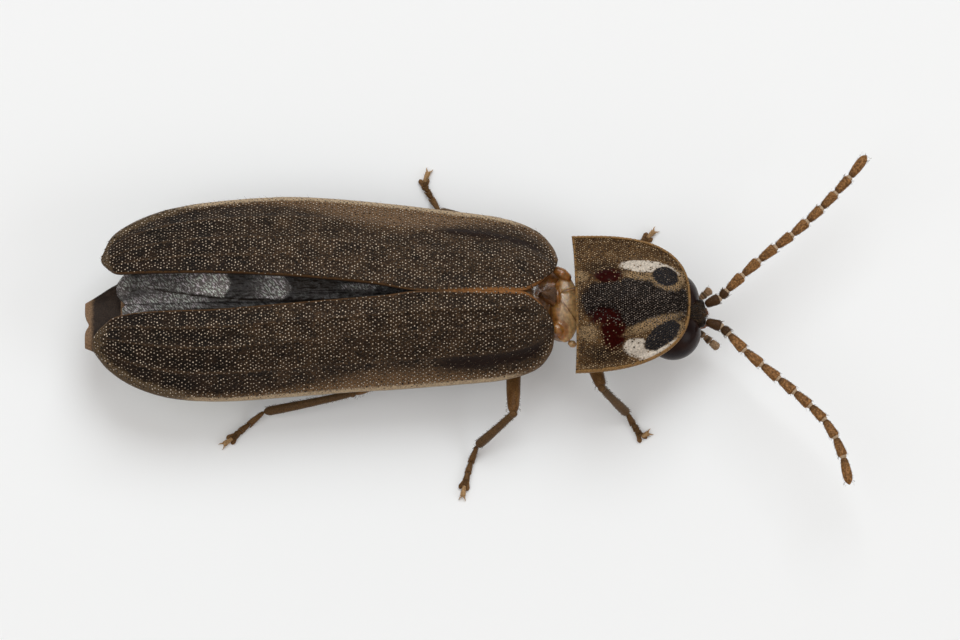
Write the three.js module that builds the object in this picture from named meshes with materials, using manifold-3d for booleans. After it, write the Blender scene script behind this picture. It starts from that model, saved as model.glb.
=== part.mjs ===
// A winged adult firefly (beetle family Lampyridae) standing on a level floor, at life size.
// It holds its wing cases slightly parted, so that the folded wings show along the back.
// Millimetres. +X points towards the head, +Y to the animal's left and +Z up; the floor is Z = 0.
import * as THREE from "three";
import { mergeVertices } from "three/addons/utils/BufferGeometryUtils.js";
import Module from "manifold-3d";

const wasm = await Module();
wasm.setup();

// Driving dimensions. Body coordinates have Y = 0 in the middle of the body, and X = 0 where the wing cases part.
const GAP = 0.15; // clearance between neighbouring solids
const SHELL = 0.5; // thickness of the wing cases and of the shield in the solids
const RIM = 0.3; // their thickness along the free edges

// Colours of the sub-parts.
const DARK_BROWN = 0x2e211b;
const RIM_BROWN = 0x8a6438;
const LEG_BROWN = 0x5a3d22;
const ANTENNA_BROWN = 0x7a5230;
const AMBER = 0xc07a2c;
const EYE_BLACK = 0x171214;
const MEMBRANE_GREY = 0x54504f;
const LANTERN_CREAM = 0xdcd6a0;

// Wing cases. Each rib runs from the inner to the outer margin, as [inner X, inner Y, outer X, outer Y], and they
// follow each other from base to tip. Y is measured away from the middle. The two cases are held a bit differently.
const LEFT_RIBS = [
  [3.58, 0.33, 3.95, 0.95],
  [3.3, 0.12, 3.8, 1.34],
  [2.9, 0.08, 3.4, 1.77],
  [2.0, 0.08, 2.6, 2.1],
  [0.9, 0.08, 1.2, 2.31],
  [0.0, 0.11, 0.0, 2.46],
  [-1.2, 0.26, -1.3, 2.59],
  [-2.8, 0.41, -2.8, 2.67],
  [-4.4, 0.5, -4.4, 2.57],
  [-5.6, 0.52, -5.7, 2.36],
  [-6.5, 0.53, -6.6, 2.02],
  [-7.03, 0.53, -7.2, 1.6],
  [-7.28, 0.68, -7.45, 1.08],
];
const RIGHT_RIBS = [
  [3.58, 0.33, 3.86, 1.05],
  [3.3, 0.12, 3.76, 1.38],
  [2.9, 0.08, 3.4, 1.75],
  [2.0, 0.08, 2.6, 1.99],
  [0.9, 0.08, 1.2, 2.12],
  [0.0, 0.09, 0.0, 2.21],
  [-1.2, 0.16, -1.3, 2.29],
  [-2.8, 0.28, -2.8, 2.41],
  [-4.4, 0.4, -4.4, 2.52],
  [-5.6, 0.43, -5.7, 2.46],
  [-6.5, 0.46, -6.65, 2.18],
  [-7.1, 0.57, -7.28, 1.78],
  [-7.47, 0.82, -7.65, 1.34],
];
// Height of a wing case along its inner margin and its outer margin, from base to tip.
const RIDGE_HEIGHTS = [3.02, 3.22, 3.32, 3.35, 3.34, 3.3, 3.25, 3.18, 3.08, 2.98, 2.86, 2.75, 2.58];
const MARGIN_HEIGHTS = [2.5, 2.22, 2.02, 1.9, 1.84, 1.8, 1.8, 1.8, 1.82, 1.9, 2.02, 2.12, 2.24];
const ROOF_ROUNDNESS = 2.3; // how long the case stays flat before it turns down
const ROOF_FLARE = 1.25; // how much the margin flattens out again
const COSTA_PLACES = [0.27, 0.5, 0.72]; // the three raised lines, as shares of the way from inner to outer margin
const COSTA_HEIGHT = 0.05;

// Shield over the head (pronotum).
const SHIELD = {
  rearX: 4.38,
  length: 2.87,
  halfWidth: 1.73,
  middleY: -0.19,
  turn: THREE.MathUtils.degToRad(1.5),
  outlinePower: 2.6,
  cornerReach: 0.045, // how far the rear corners reach back
  gutter: 0.05, // depth of the channel inside the raised rim
  gutterPlace: 0.82,
  gutterWidth: 0.08,
  middleHeights: [3.08, 3.22, 3.26, 3.2, 3.06, 2.86],
  marginHeights: [2.46, 2.5, 2.56, 2.66, 2.76, 2.82],
  flare: 1.5,
};

// Head and eyes.
const HEAD = { x: 6.81, y: -0.335, z: 1.62, turn: THREE.MathUtils.degToRad(3) };
const EYE = { out: 0.42, radii: [0.7, 0.7, 0.64], flat: 0.34 };

// Middle body, as stations [X, middle Y, half width, lowest Z, highest Z].
const PROTHORAX = [
  [4.47, -0.06, 0.75, 1.32, 2.35],
  [4.75, -0.08, 0.95, 1.16, 2.42],
  [5.4, -0.12, 1.0, 1.12, 2.5],
  [5.78, -0.17, 0.8, 1.25, 2.45],
  [5.95, -0.2, 0.62, 1.4, 2.3],
];
const MESOTHORAX = [
  [2.55, 0, 1.35, 1.04, 2.1],
  [2.75, 0, 1.4, 1.0, 2.2],
  [3.3, 0, 1.2, 1.02, 2.34],
  [3.8, 0, 0.88, 1.16, 2.38],
  [4.1, -0.12, 0.9, 1.3, 2.36],
  [4.32, -0.2, 0.85, 1.4, 2.34],
];
const METATHORAX = [
  [0.95, 0, 1.45, 1.08, 1.66],
  [1.15, 0, 1.55, 1.0, 1.7],
  [1.7, 0, 1.6, 0.98, 1.74],
  [2.2, 0, 1.55, 1.0, 1.75],
  [2.4, 0, 1.45, 1.08, 1.75],
];

// Abdomen. Each ring is [X at its front, middle Y, half width, lowest Z, highest Z], and the last line is the tail.
const ABDOMEN_RINGS = [
  [0.8, 0, 1.55, 1.08, 1.63],
  [-0.35, 0, 1.8, 1.0, 1.63],
  [-1.6, -0.02, 1.92, 0.98, 1.63],
  [-2.85, -0.06, 1.92, 0.98, 1.63],
  [-4.05, -0.13, 1.8, 1.0, 1.63],
  [-5.15, -0.22, 1.6, 1.02, 1.63],
  [-6.0, -0.34, 1.34, 1.04, 1.61],
  [-6.7, -0.46, 1.06, 1.08, 1.6],
  [-7.6, -0.56, 0.56, 1.2, 1.58],
];
const TAIL_NOTCH = 0.14;
const TAIL_START = -7.52;
const LANTERN_RINGS = [4, 6]; // the ring lines between which the light organ lies
const RING_STEP = 0.05; // how far each ring overlaps the next

// Folded wings.
const WING = { rootX: 2.35, reach: 0.66, underCase: GAP + SHELL, tipBend: 0.22 };
const LEFT_WING_TIP = -7.1;
const RIGHT_WING_TIP = -6.95;
const WING_VEINS = [0.12, 0.4, 0.66, 0.88]; // shares of the wing's width
const VEIN_HEIGHT = 0.05;

// Legs: where each coxa leaves the body and ends, the knee, the ankle and the five joints of the foot.
const LEGS = {
  leg_front_left: {
    root: [4.95, 0.3, 1.3], coxa: [5.1, 0.52, 0.72], knee: [5.7, 1.42, 1.5], ankle: [5.78, 1.5, 0.36],
    foot: [[5.92, 1.64], [6.02, 1.74], [6.12, 1.84], [6.22, 1.93], [6.38, 2.08]],
  },
  leg_front_right: {
    root: [4.75, -0.5, 1.3], coxa: [4.62, -0.74, 0.72], knee: [5.05, -2.15, 1.5], ankle: [5.7, -2.59, 0.36],
    foot: [[5.84, -2.81], [5.93, -2.95], [6.0, -3.07], [6.06, -3.16], [6.21, -3.08]],
  },
  leg_middle_left: {
    root: [2.95, 0.6, 1.2], coxa: [2.8, 0.9, 0.56], knee: [2.1, 2.12, 1.05], ankle: [0.98, 2.56, 0.36],
    foot: [[0.78, 2.94], [0.68, 3.12], [0.61, 3.25], [0.59, 3.36], [0.68, 3.6]],
  },
  leg_middle_right: {
    root: [2.95, -0.6, 1.2], coxa: [2.85, -0.9, 0.56], knee: [2.83, -2.78, 1.35], ankle: [1.93, -3.42, 0.36],
    foot: [[1.78, -3.78], [1.7, -4.06], [1.65, -4.26], [1.61, -4.4], [1.57, -4.64]],
  },
  leg_hind_left: {
    root: [1.45, 0.65, 1.2], coxa: [1.2, 0.95, 0.54], knee: [-0.95, 2.0, 0.95], ankle: [-2.95, 2.1, 0.36],
    foot: [[-3.4, 2.16], [-3.66, 2.19], [-3.85, 2.21], [-3.98, 2.22], [-4.2, 2.2]],
  },
  leg_hind_right: {
    root: [1.45, -0.65, 1.2], coxa: [1.2, -0.95, 0.54], knee: [-1.2, -2.2, 0.98], ankle: [-3.44, -2.56, 0.36],
    foot: [[-3.8, -2.83], [-4.02, -3.0], [-4.15, -3.12], [-4.24, -3.2], [-4.42, -3.33]],
  },
};
const LEG_SIDES = 7;
const COXA_RADIUS = 0.3;
const FEMUR_RADIUS = 0.26;
const TIBIA_RADII = [0.22, 0.26];
const FOOT_RADIUS = 0.22;
const FOOT_AXIS = 0.15; // height of the foot's middle line, so that its sole is cut flat by the floor
const CLAW = { length: 0.3, radius: 0.1, spread: 0.16 };

// Antennae: length of each of the eleven joints, and its heading in degrees from +X towards +Y.
const ANTENNA_LENGTHS = [0.41, 0.25, 0.56, 0.55, 0.54, 0.51, 0.51, 0.49, 0.52, 0.52, 0.7];
const LEFT_HEADINGS = [23, 48, 44, 42, 38, 37, 41, 43, 46, 48, 53];
const RIGHT_HEADINGS = [-19.5, -47.5, -47.5, -41.5, -40.5, -41.5, -42.5, -45.5, -59.5, -69.5, -78.5];
const RIGHT_STRETCH = 1.03; // the right antenna is held flatter, so it looks longer
const ANTENNA_RISE = 5; // degrees above level
const ANTENNA_RADIUS = 0.25;
const ANTENNA_SIDES = 7;
const ANTENNA_ROOT = [0.84, 0.215, 0.14]; // in the head's own frame, on the left side
const PALP_LENGTHS = [0.24, 0.2, 0.26];
const PALP_RADIUS = 0.18;
const PALPS = {
  left: { root: [0.49, 0.29, -0.76], headings: [42, 42, 40] },
  right: { root: [0.62, -0.25, -0.8], headings: [-40, -38, -40] },
};
const PALP_RISE = -14;

const point = (xyz) => new THREE.Vector3(...xyz);
const lerp = THREE.MathUtils.lerp;
const smoothstep = THREE.MathUtils.smoothstep;

// Value of a smooth line through evenly spaced heights, at share t of its length.
function along(values, t) {
  const place = THREE.MathUtils.clamp(t, 0, 1) * (values.length - 1);
  const i = Math.min(Math.floor(place), values.length - 2);
  const before = values[Math.max(i - 1, 0)];
  const after = values[Math.min(i + 2, values.length - 1)];
  const s = place - i;
  const rise = values[i + 1] - values[i];
  const leave = (values[i + 1] - before) / 2;
  const arrive = (after - values[i]) / 2;
  return values[i] + s * leave + s * s * (3 * rise - 2 * leave - arrive) + s * s * s * (leave + arrive - 2 * rise);
}

// A manifold-3d solid from a closed geometry, and a geometry from the largest closed surface of a solid.
function solidOf(geometry) {
  const bare = new THREE.BufferGeometry().setAttribute("position", geometry.getAttribute("position"));
  bare.setIndex(geometry.index);
  const merged = mergeVertices(bare, 1e-4);
  const corners = merged.index.array;
  const kept = [];
  for (let i = 0; i < corners.length; i += 3) {
    const [a, b, c] = [corners[i], corners[i + 1], corners[i + 2]];
    if (a !== b && b !== c && a !== c) kept.push(a, b, c);
  }
  const vertProperties = new Float32Array(merged.getAttribute("position").array);
  const triVerts = new Uint32Array(kept);
  if (signedVolume(vertProperties, triVerts) < 0) triVerts.reverse();
  return new wasm.Manifold(new wasm.Mesh({ numProp: 3, vertProperties, triVerts }));
}

// Negative where the faces of a closed mesh point inwards, as they do after it has been mirrored.
function signedVolume(places, corners) {
  const [a, b, c] = [new THREE.Vector3(), new THREE.Vector3(), new THREE.Vector3()];
  let total = 0;
  for (let i = 0; i < corners.length; i += 3) {
    [a, b, c].forEach((corner, k) => corner.fromArray(places, 3 * corners[i + k]));
    total += a.dot(b.cross(c)) / 6;
  }
  return total;
}

function largestBody(solid) {
  return solid.decompose().reduce((best, next) => (next.volume() > best.volume() ? next : best));
}

function geometryOf(solid) {
  const mesh = largestBody(solid).getMesh();
  const geometry = new THREE.BufferGeometry();
  geometry.setAttribute("position", new THREE.BufferAttribute(new Float32Array(mesh.vertProperties), 3));
  geometry.setIndex(new THREE.BufferAttribute(new Uint32Array(mesh.triVerts), 1));
  geometry.computeVertexNormals();
  return geometry;
}

function joined(geometries) {
  return geometries.map(solidOf).reduce((whole, next) => whole.add(next));
}

function without(solid, tools) {
  return tools.reduce((rest, tool) => rest.subtract(solidOf(tool)), solid);
}

const FLOOR_CUT = new THREE.BoxGeometry(40, 40, 4).translate(0, 0, -2);

// A round limb piece from one point to another. Its profile lists [share of the way, radius].
function limbPiece(from, to, profile, sides) {
  const axis = new THREE.Vector3().subVectors(to, from);
  const outline = profile.map(([share, radius]) => new THREE.Vector2(radius, share * axis.length()));
  const piece = new THREE.LatheGeometry(outline, sides);
  piece.applyQuaternion(new THREE.Quaternion().setFromUnitVectors(new THREE.Vector3(0, 1, 0), axis.normalize()));
  return piece.translate(from.x, from.y, from.z);
}

function ball(centre, radii, around = 12, down = 8) {
  return new THREE.SphereGeometry(1, around, down).scale(...radii).translate(centre.x, centre.y, centre.z);
}

// A box whose corners are moved by place(u, v, w), each from 0 to 1, so that it bends into a shell.
function bentBox(lengths, widths, place) {
  const box = new THREE.BoxGeometry(1, 1, 1, lengths.length - 1, widths.length - 1, 1);
  const position = box.getAttribute("position");
  for (let i = 0; i < position.count; i++) {
    const u = lengths[Math.round((position.getX(i) + 0.5) * (lengths.length - 1))];
    const v = widths[Math.round((position.getY(i) + 0.5) * (widths.length - 1))];
    position.setXYZ(i, ...place(u, v, position.getZ(i) + 0.5));
  }
  return box;
}

const evenly = (count) => Array.from({ length: count + 1 }, (_, i) => i / count);

// Body piece through stations, with rounded ends. Cross-sections are ovals, squarer as the power rises.
function bodyPiece(stations, { sides = 16, rows = 12, power = 2.4, grow = 0, endPower = 7 } = {}) {
  const piece = new THREE.SphereGeometry(1, sides, rows).rotateZ(-Math.PI / 2);
  const position = piece.getAttribute("position");
  const xs = stations.map((s) => s[0]);
  const value = (column, t) => along(stations.map((s) => s[column]), t);
  const [first, last] = [xs[0], xs[xs.length - 1]];
  for (let i = 0; i < position.count; i++) {
    const share = Math.acos(THREE.MathUtils.clamp(position.getX(i), -1, 1)) / Math.PI;
    const t = (1 - Math.cos(share * Math.PI)) / 2;
    const angle = Math.atan2(position.getZ(i), position.getY(i));
    const closing = Math.pow(Math.max(0, 1 - Math.pow(Math.abs(2 * t - 1), endPower)), 1 / endPower);
    const [c, s] = [Math.cos(angle), Math.sin(angle)];
    const reach = Math.pow(Math.pow(Math.abs(c), power) + Math.pow(Math.abs(s), power), -1 / power);
    const half = (value(2, 1 - t) + grow) * closing;
    const tall = ((value(4, 1 - t) - value(3, 1 - t)) / 2 + grow) * closing;
    const x = lerp(Math.max(first, last) + grow, Math.min(first, last) - grow, t);
    const flip = first < last ? 1 - t : t;
    position.setXYZ(
      i,
      x,
      value(1, flip) + half * c * reach,
      (value(4, flip) + value(3, flip)) / 2 + tall * s * reach,
    );
  }
  return piece;
}

// Wing cases.
function ribPoint(ribs, u, v) {
  const at = (column) => along(ribs.map((rib) => rib[column]), u);
  return [lerp(at(0), at(2), v), lerp(at(1), at(3), v)];
}

function caseHeight(u, v) {
  const margin = along(MARGIN_HEIGHTS, u);
  const roof = Math.pow(1 - Math.pow(v, ROOF_ROUNDNESS), ROOF_FLARE);
  const fade = smoothstep(u, 0.06, 0.2) * (1 - smoothstep(u, 0.78, 0.95));
  const costa = COSTA_PLACES.some((place) => Math.abs(place - v) < 1e-6) ? COSTA_HEIGHT * fade : 0;
  return margin + (along(RIDGE_HEIGHTS, u) - margin) * roof + costa;
}

function wingCase(ribs, side) {
  const lengths = [0, 0.03, 0.07, 0.12, ...evenly(12).map((s) => lerp(0.18, 0.84, s)), 0.89, 0.93, 0.965, 1];
  const beside = COSTA_PLACES.flatMap((place) => [place - 0.05, place, place + 0.05]);
  const widths = [0, 0.1, ...beside, 0.86, 0.95, 1].sort((a, b) => a - b);
  return bentBox(lengths, widths, (u, v, w) => {
    const [x, y] = ribPoint(ribs, u, v);
    const thickness = lerp(SHELL, RIM, smoothstep(v, 0.8, 1));
    return [x, y * side, caseHeight(u, v) - (1 - w) * thickness];
  });
}

// Shield over the head.
function shieldHeights(s, q) {
  const margin = along(SHIELD.marginHeights, s);
  return margin + (along(SHIELD.middleHeights, s) - margin) * Math.pow(Math.max(0, 1 - q * q), SHIELD.flare);
}

function shield() {
  const lengths = evenly(14).map((t) => Math.sin((t * Math.PI) / 2));
  const widths = [-1, -0.93, -0.82, -0.65, -0.45, -0.22, 0, 0.22, 0.45, 0.65, 0.82, 0.93, 1];
  const evenSteps = widths.map((w) => (w + 1) / 2);
  const shell = bentBox(lengths, evenSteps, (s, v, w) => {
    const q = 2 * v - 1;
    const open = Math.pow(1 - Math.pow(Math.min(s, 0.9985), SHIELD.outlinePower), 1 / SHIELD.outlinePower);
    const x = s * SHIELD.length - SHIELD.cornerReach * Math.pow(Math.abs(q), 4) * (1 - s);
    const outward = Math.max(Math.abs(q), s);
    const thickness = lerp(SHELL, RIM, smoothstep(outward, 0.7, 1));
    const channel = SHIELD.gutter * Math.exp(-Math.pow((outward - SHIELD.gutterPlace) / SHIELD.gutterWidth, 2));
    return [x, q * open * SHIELD.halfWidth, shieldHeights(s, q) - channel - (1 - w) * thickness];
  });
  return shell.rotateZ(SHIELD.turn).translate(SHIELD.rearX, SHIELD.middleY, 0);
}

// Small plate between the bases of the wing cases.
function scutellum() {
  const outline = new THREE.Shape();
  outline.moveTo(3.98, -0.3);
  outline.quadraticCurveTo(4.06, 0, 3.98, 0.3);
  outline.lineTo(3.72, 0.2);
  outline.quadraticCurveTo(3.5, 0.12, 3.42, 0);
  outline.quadraticCurveTo(3.5, -0.12, 3.72, -0.2);
  outline.closePath();
  const plate = new THREE.ExtrudeGeometry(outline, { depth: 0.4, bevelEnabled: false, curveSegments: 5 });
  return plate.translate(0, 0, 2.62);
}

// Folded wings, one on each side of the middle line, lying on the abdomen under the wing cases.
function wing(ribs, side, tipX) {
  const innerY = GAP / 2;
  const veins = WING_VEINS.flatMap((place) => [place - 0.045, place, place + 0.045]);
  return bentBox(evenly(15), [0, ...veins, 1], (t, v, w) => {
    const x = lerp(WING.rootX, tipX + WING.tipBend * (1 - v) * (1 - v), t);
    const u = caseShareAt(ribs, x);
    const [, caseInner] = ribPoint(ribs, u, 0);
    const [, caseOuter] = ribPoint(ribs, u, 1);
    const narrowing = Math.pow(1 - Math.pow(Math.min(t, 0.998), 5), 0.4);
    const y = lerp(innerY, Math.max(innerY + 0.12, lerp(0.25, caseOuter * WING.reach, narrowing)), v);
    const q = THREE.MathUtils.clamp((y - caseInner) / (caseOuter - caseInner), 0, 1);
    const ceiling = plainCaseHeight(u, q) - WING.underCase;
    const ridge = WING_VEINS.some((place) => Math.abs(place - v) < 1e-6) ? VEIN_HEIGHT : 0;
    const top = ceiling - VEIN_HEIGHT + ridge * (1 - smoothstep(t, 0.9, 1));
    const thickness = lerp(SHELL, RIM, Math.max(smoothstep(v, 0.55, 0.95), smoothstep(t, 0.85, 1)));
    return [x, y * side, top - (1 - w) * thickness];
  });
}

function plainCaseHeight(u, v) {
  const margin = along(MARGIN_HEIGHTS, u);
  return margin + (along(RIDGE_HEIGHTS, u) - margin) * Math.pow(1 - Math.pow(v, ROOF_ROUNDNESS), ROOF_FLARE);
}

// Share of a wing case's length at which its inner margin passes X.
function caseShareAt(ribs, x) {
  let [low, high] = [0, 1];
  for (let i = 0; i < 24; i++) {
    const middle = (low + high) / 2;
    if (ribPoint(ribs, middle, 0)[0] > x) low = middle;
    else high = middle;
  }
  return low;
}

// Abdomen with its rings; each ring is a little wider at the back than the next one is at the front.
function abdomen(from, to, grow = 0) {
  const sides = 16;
  const rows = [];
  for (let ring = from; ring < to; ring++)
    for (const share of [0, 0.3, 0.75, 1]) {
      const [here, next] = [ABDOMEN_RINGS[ring], ABDOMEN_RINGS[ring + 1]];
      const flare = share === 0 ? -RING_STEP : share === 1 ? 0 : RING_STEP * 0.3 * (1 - share);
      const x = lerp(here[0], next[0], share) - (share === 1 ? 0.02 : 0);
      rows.push([x, ...[1, 2, 3, 4].map((k) => lerp(here[k], next[k], share)), flare]);
    }
  const tube = new THREE.CylinderGeometry(1, 1, 1, sides, rows.length - 1);
  const position = tube.getAttribute("position");
  for (let i = 0; i < position.count; i++) {
    const [x, middle, half, low, high, flare] = rows[Math.round((0.5 - position.getY(i)) * (rows.length - 1))];
    const out = Math.min(1, Math.hypot(position.getX(i), position.getZ(i)));
    const angle = Math.atan2(position.getZ(i), position.getX(i));
    const [c, s] = [Math.cos(angle), Math.sin(angle)];
    const power = s > 0 ? 2.6 : 2;
    const reach = out * Math.pow(Math.pow(Math.abs(c), power) + Math.pow(Math.abs(s), power), -1 / power);
    const across = (half + flare + grow) * c * reach;
    const z = (low + high) / 2 + ((high - low) / 2 + flare + grow) * s * reach;
    const notch = x < TAIL_START ? TAIL_NOTCH * Math.max(0, 1 - Math.abs(across) / 0.25) : 0;
    position.setXYZ(i, x + notch, middle + across, z);
  }
  return tube;
}

// Head capsule with its brow, mouth, neck and antenna sockets, in the middle between the eyes.
function headCapsule(grow = 0) {
  const round = (centre, radii) => ball(point(centre), radii.map((radius) => radius + grow), 14, 9);
  const stub = (from, to, radii) => {
    const [start, end] = [point(from), point(to)];
    const reach = grow / start.distanceTo(end);
    const [narrow, wide] = radii.map((radius) => radius + grow);
    return limbPiece(start, end, [[-reach, 0], [-reach, narrow], [1 + reach, wide], [1 + reach, 0]], 8);
  };
  const sockets = [1, -1].map((side) => stub([0.58, side * 0.19, 0.08], [0.8, side * 0.21, 0.13], [0.21, 0.17]));
  const pieces = [
    round([0, 0, 0.02], [0.62, 0.74, 0.52]),
    round([0.42, 0, 0], [0.42, 0.34, 0.38]),
    stub([0.4, 0, -0.3], [0.6, 0, -0.42], [0.24, 0.16]),
    stub([-0.35, 0, 0], [-0.62, 0.02, 0.05], [0.42, 0.36]),
    ...sockets,
  ];
  return pieces.map(onHead);
}

function onHead(geometry) {
  return geometry.rotateZ(HEAD.turn).translate(HEAD.x, HEAD.y, HEAD.z);
}

// The inner side of an eye is flat, against the head.
function eye(side, grow = 0) {
  const radii = EYE.radii.map((radius) => radius + grow);
  const globe = ball(point([0, side * EYE.out, 0]), radii, 16, 11);
  const position = globe.getAttribute("position");
  for (let i = 0; i < position.count; i++) {
    position.setY(i, side * Math.max(side * position.getY(i), EYE.flat - grow));
  }
  return onHead(globe);
}

// Jaws, crossed under the mouth.
function jaw(side) {
  const bend = point([0.84, side * 0.24, -0.46]);
  const pieces = [
    limbPiece(point([0.5, side * 0.26, -0.4]), bend, [[0, 0], [0, 0.14], [1, 0.13], [1, 0]], 7),
    limbPiece(bend, point([0.95, side * 0.1, -0.5]), [[-0.4, 0], [-0.3, 0.13], [1, 0.03], [1, 0]], 7),
  ];
  return pieces.map(onHead);
}

// Antennae and palps are chains of joints, each narrow at its root and widest near its end.
function chain(start, lengths, headings, rise, radius, sides) {
  const pieces = [];
  let from = start.clone();
  lengths.forEach((length, i) => {
    const heading = THREE.MathUtils.degToRad(headings[i]);
    const up = THREE.MathUtils.degToRad(rise);
    const level = Math.cos(up);
    const step = new THREE.Vector3(Math.cos(heading) * level, Math.sin(heading) * level, Math.sin(up));
    const to = from.clone().addScaledVector(step, length);
    const last = i === lengths.length - 1;
    const root = i === 0 ? 0 : -0.16;
    const waist = i === 0 ? 0.75 : 0.68;
    const profile = last
      ? [[root, 0], [root, radius * waist], [0.35, radius * 0.92], [0.7, radius * 0.86], [1, radius * 0.3], [1, 0]]
      : [[root, 0], [root, radius * waist], [0.5, radius * 0.95], [0.86, radius], [1, radius * 0.86], [1, 0]];
    pieces.push(limbPiece(from, to, profile, sides));
    from = to;
  });
  return pieces;
}

function headPoint([x, y, z]) {
  const turned = point([x, y, z]).applyAxisAngle(new THREE.Vector3(0, 0, 1), HEAD.turn);
  return turned.add(point([HEAD.x, HEAD.y, HEAD.z]));
}

function antenna(side, headings, stretch) {
  const [x, y, z] = ANTENNA_ROOT;
  const lengths = ANTENNA_LENGTHS.map((length) => length * stretch);
  return chain(headPoint([x, side * y, z]), lengths, headings, ANTENNA_RISE, ANTENNA_RADIUS, ANTENNA_SIDES);
}

function palp({ root, headings }) {
  return chain(headPoint(root), PALP_LENGTHS, headings, PALP_RISE, PALP_RADIUS, ANTENNA_SIDES);
}

// Legs.
function legPieces({ root, coxa, knee, ankle, foot }) {
  const [rootPoint, coxaEnd, kneePoint, anklePoint] = [root, coxa, knee, ankle].map(point);
  const joints = foot.map(([x, y], i) => point([x, y, i === 4 ? FOOT_AXIS + 0.04 : FOOT_AXIS]));
  const [shin, shinEnd] = TIBIA_RADII;
  const pieces = [
    limbPiece(rootPoint, coxaEnd, [[0, 0], [0, COXA_RADIUS], [0.7, 0.28], [1.1, 0.2], [1.1, 0]], LEG_SIDES),
    ball(coxaEnd, [0.26, 0.26, 0.24], 8, 6),
    limbPiece(
      coxaEnd,
      kneePoint,
      [[-0.04, 0], [0, 0.2], [0.22, FEMUR_RADIUS], [0.6, FEMUR_RADIUS], [0.95, 0.24], [1.06, 0.14], [1.06, 0]],
      LEG_SIDES,
    ),
    limbPiece(
      kneePoint,
      anklePoint,
      [[-0.08, 0], [-0.04, shin], [0.3, shin * 1.02], [0.93, shinEnd], [1.02, shinEnd * 0.8], [1.02, 0]],
      LEG_SIDES,
    ),
  ];
  let from = anklePoint;
  joints.forEach((to, i) => {
    const narrow = i === 4 ? 0.6 : 0.72;
    const wide = i === 4 ? 0.72 : 1;
    const outline = [[-0.25, narrow], [0.85, wide], [1, 0.6]].map(([share, size]) => [share, FOOT_RADIUS * size]);
    pieces.push(limbPiece(from, to, [[-0.25, 0], ...outline, [1, 0]], LEG_SIDES));
    from = to;
  });
  return [...pieces, ...footLobes(joints), ...claws(joints)];
}

// The fourth joint of the foot is split into two lobes.
function footLobes(joints) {
  const ahead = new THREE.Vector3().subVectors(joints[3], joints[2]).setZ(0).normalize();
  const across = new THREE.Vector3(-ahead.y, ahead.x, 0);
  return [1, -1].map((side) => {
    const from = joints[2].clone().addScaledVector(across, side * 0.04);
    const to = joints[3].clone().addScaledVector(across, side * 0.17).addScaledVector(ahead, 0.08).setZ(0.1);
    return limbPiece(from, to, [[0, 0], [0, 0.12], [0.75, 0.15], [1, 0.08], [1, 0]], 6);
  });
}

function claws(joints) {
  const ahead = new THREE.Vector3().subVectors(joints[4], joints[3]).setZ(0).normalize();
  const across = new THREE.Vector3(-ahead.y, ahead.x, 0);
  return [1, -1].map((side) => {
    const from = joints[4].clone().addScaledVector(ahead, -0.08).addScaledVector(across, side * 0.04);
    const to = joints[4].clone().addScaledVector(ahead, CLAW.length - 0.08);
    to.addScaledVector(across, side * CLAW.spread).setZ(0.08);
    return limbPiece(from, to, [[0, 0], [0, CLAW.radius], [0.6, CLAW.radius * 0.6], [1, 0.02], [1, 0]], 5);
  });
}

// Assembly.
const firefly = new THREE.Group();

function add(name, solid, color, roughness = 0.55) {
  const material = new THREE.MeshStandardMaterial({ color, roughness, metalness: 0 });
  const mesh = new THREE.Mesh(geometryOf(solid), material);
  mesh.name = name;
  firefly.add(mesh);
}

const MIDDLE_BODY = { prothorax: PROTHORAX, mesothorax: MESOTHORAX, metathorax: METATHORAX };
const middleBody = (name, grow = 0) => bodyPiece(MIDDLE_BODY[name], { sides: 16, rows: 10, grow });

add("pronotum", solidOf(shield()), RIM_BROWN, 0.5);
add("elytron_left", solidOf(wingCase(LEFT_RIBS, 1)), DARK_BROWN, 0.5);
add("elytron_right", solidOf(wingCase(RIGHT_RIBS, -1)), DARK_BROWN, 0.5);
add("scutellum", solidOf(scutellum()), AMBER, 0.4);
add("hindwing_left", solidOf(wing(LEFT_RIBS, 1, LEFT_WING_TIP)), MEMBRANE_GREY, 0.35);
add("hindwing_right", solidOf(wing(RIGHT_RIBS, -1, RIGHT_WING_TIP)), MEMBRANE_GREY, 0.35);

add("prothorax", solidOf(middleBody("prothorax")), LEG_BROWN);
add("mesothorax", solidOf(middleBody("mesothorax")), AMBER, 0.35);
add("metathorax", solidOf(middleBody("metathorax")), DARK_BROWN);
add("abdomen_front", solidOf(abdomen(0, LANTERN_RINGS[0])), DARK_BROWN);
add("abdomen_lantern", solidOf(abdomen(...LANTERN_RINGS).translate(-GAP, 0, 0)), LANTERN_CREAM, 0.4);
add("abdomen_tip", solidOf(abdomen(LANTERN_RINGS[1], 8).translate(-2 * GAP, 0, 0)), LEG_BROWN);

const SIDES = { left: 1, right: -1 };
const HEADINGS = { left: LEFT_HEADINGS, right: RIGHT_HEADINGS };
const eyeSockets = Object.values(SIDES).map((side) => eye(side, GAP));
const head = without(joined(headCapsule()), eyeSockets);
add("head", head, DARK_BROWN, 0.6);
for (const [name, side] of Object.entries(SIDES)) {
  add(`eye_${name}`, solidOf(eye(side)), EYE_BLACK, 0.15);
  const face = [...headCapsule(GAP), eye(side, GAP)];
  const stretch = side > 0 ? 1 : RIGHT_STRETCH;
  add(`antenna_${name}`, without(joined(antenna(side, HEADINGS[name], stretch)), face), ANTENNA_BROWN, 0.6);
  add(`palp_${name}`, without(joined(palp(PALPS[name])), face), ANTENNA_BROWN, 0.6);
  add(`mandible_${name}`, without(joined(jaw(side)), face), AMBER, 0.35);
}
for (const [name, joints] of Object.entries(LEGS)) {
  const nearby = Object.keys(MIDDLE_BODY).map((part) => middleBody(part, GAP));
  add(name, without(joined(legPieces(joints)), [...nearby, abdomen(0, 2, GAP), FLOOR_CUT]), LEG_BROWN, 0.6);
}

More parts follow.
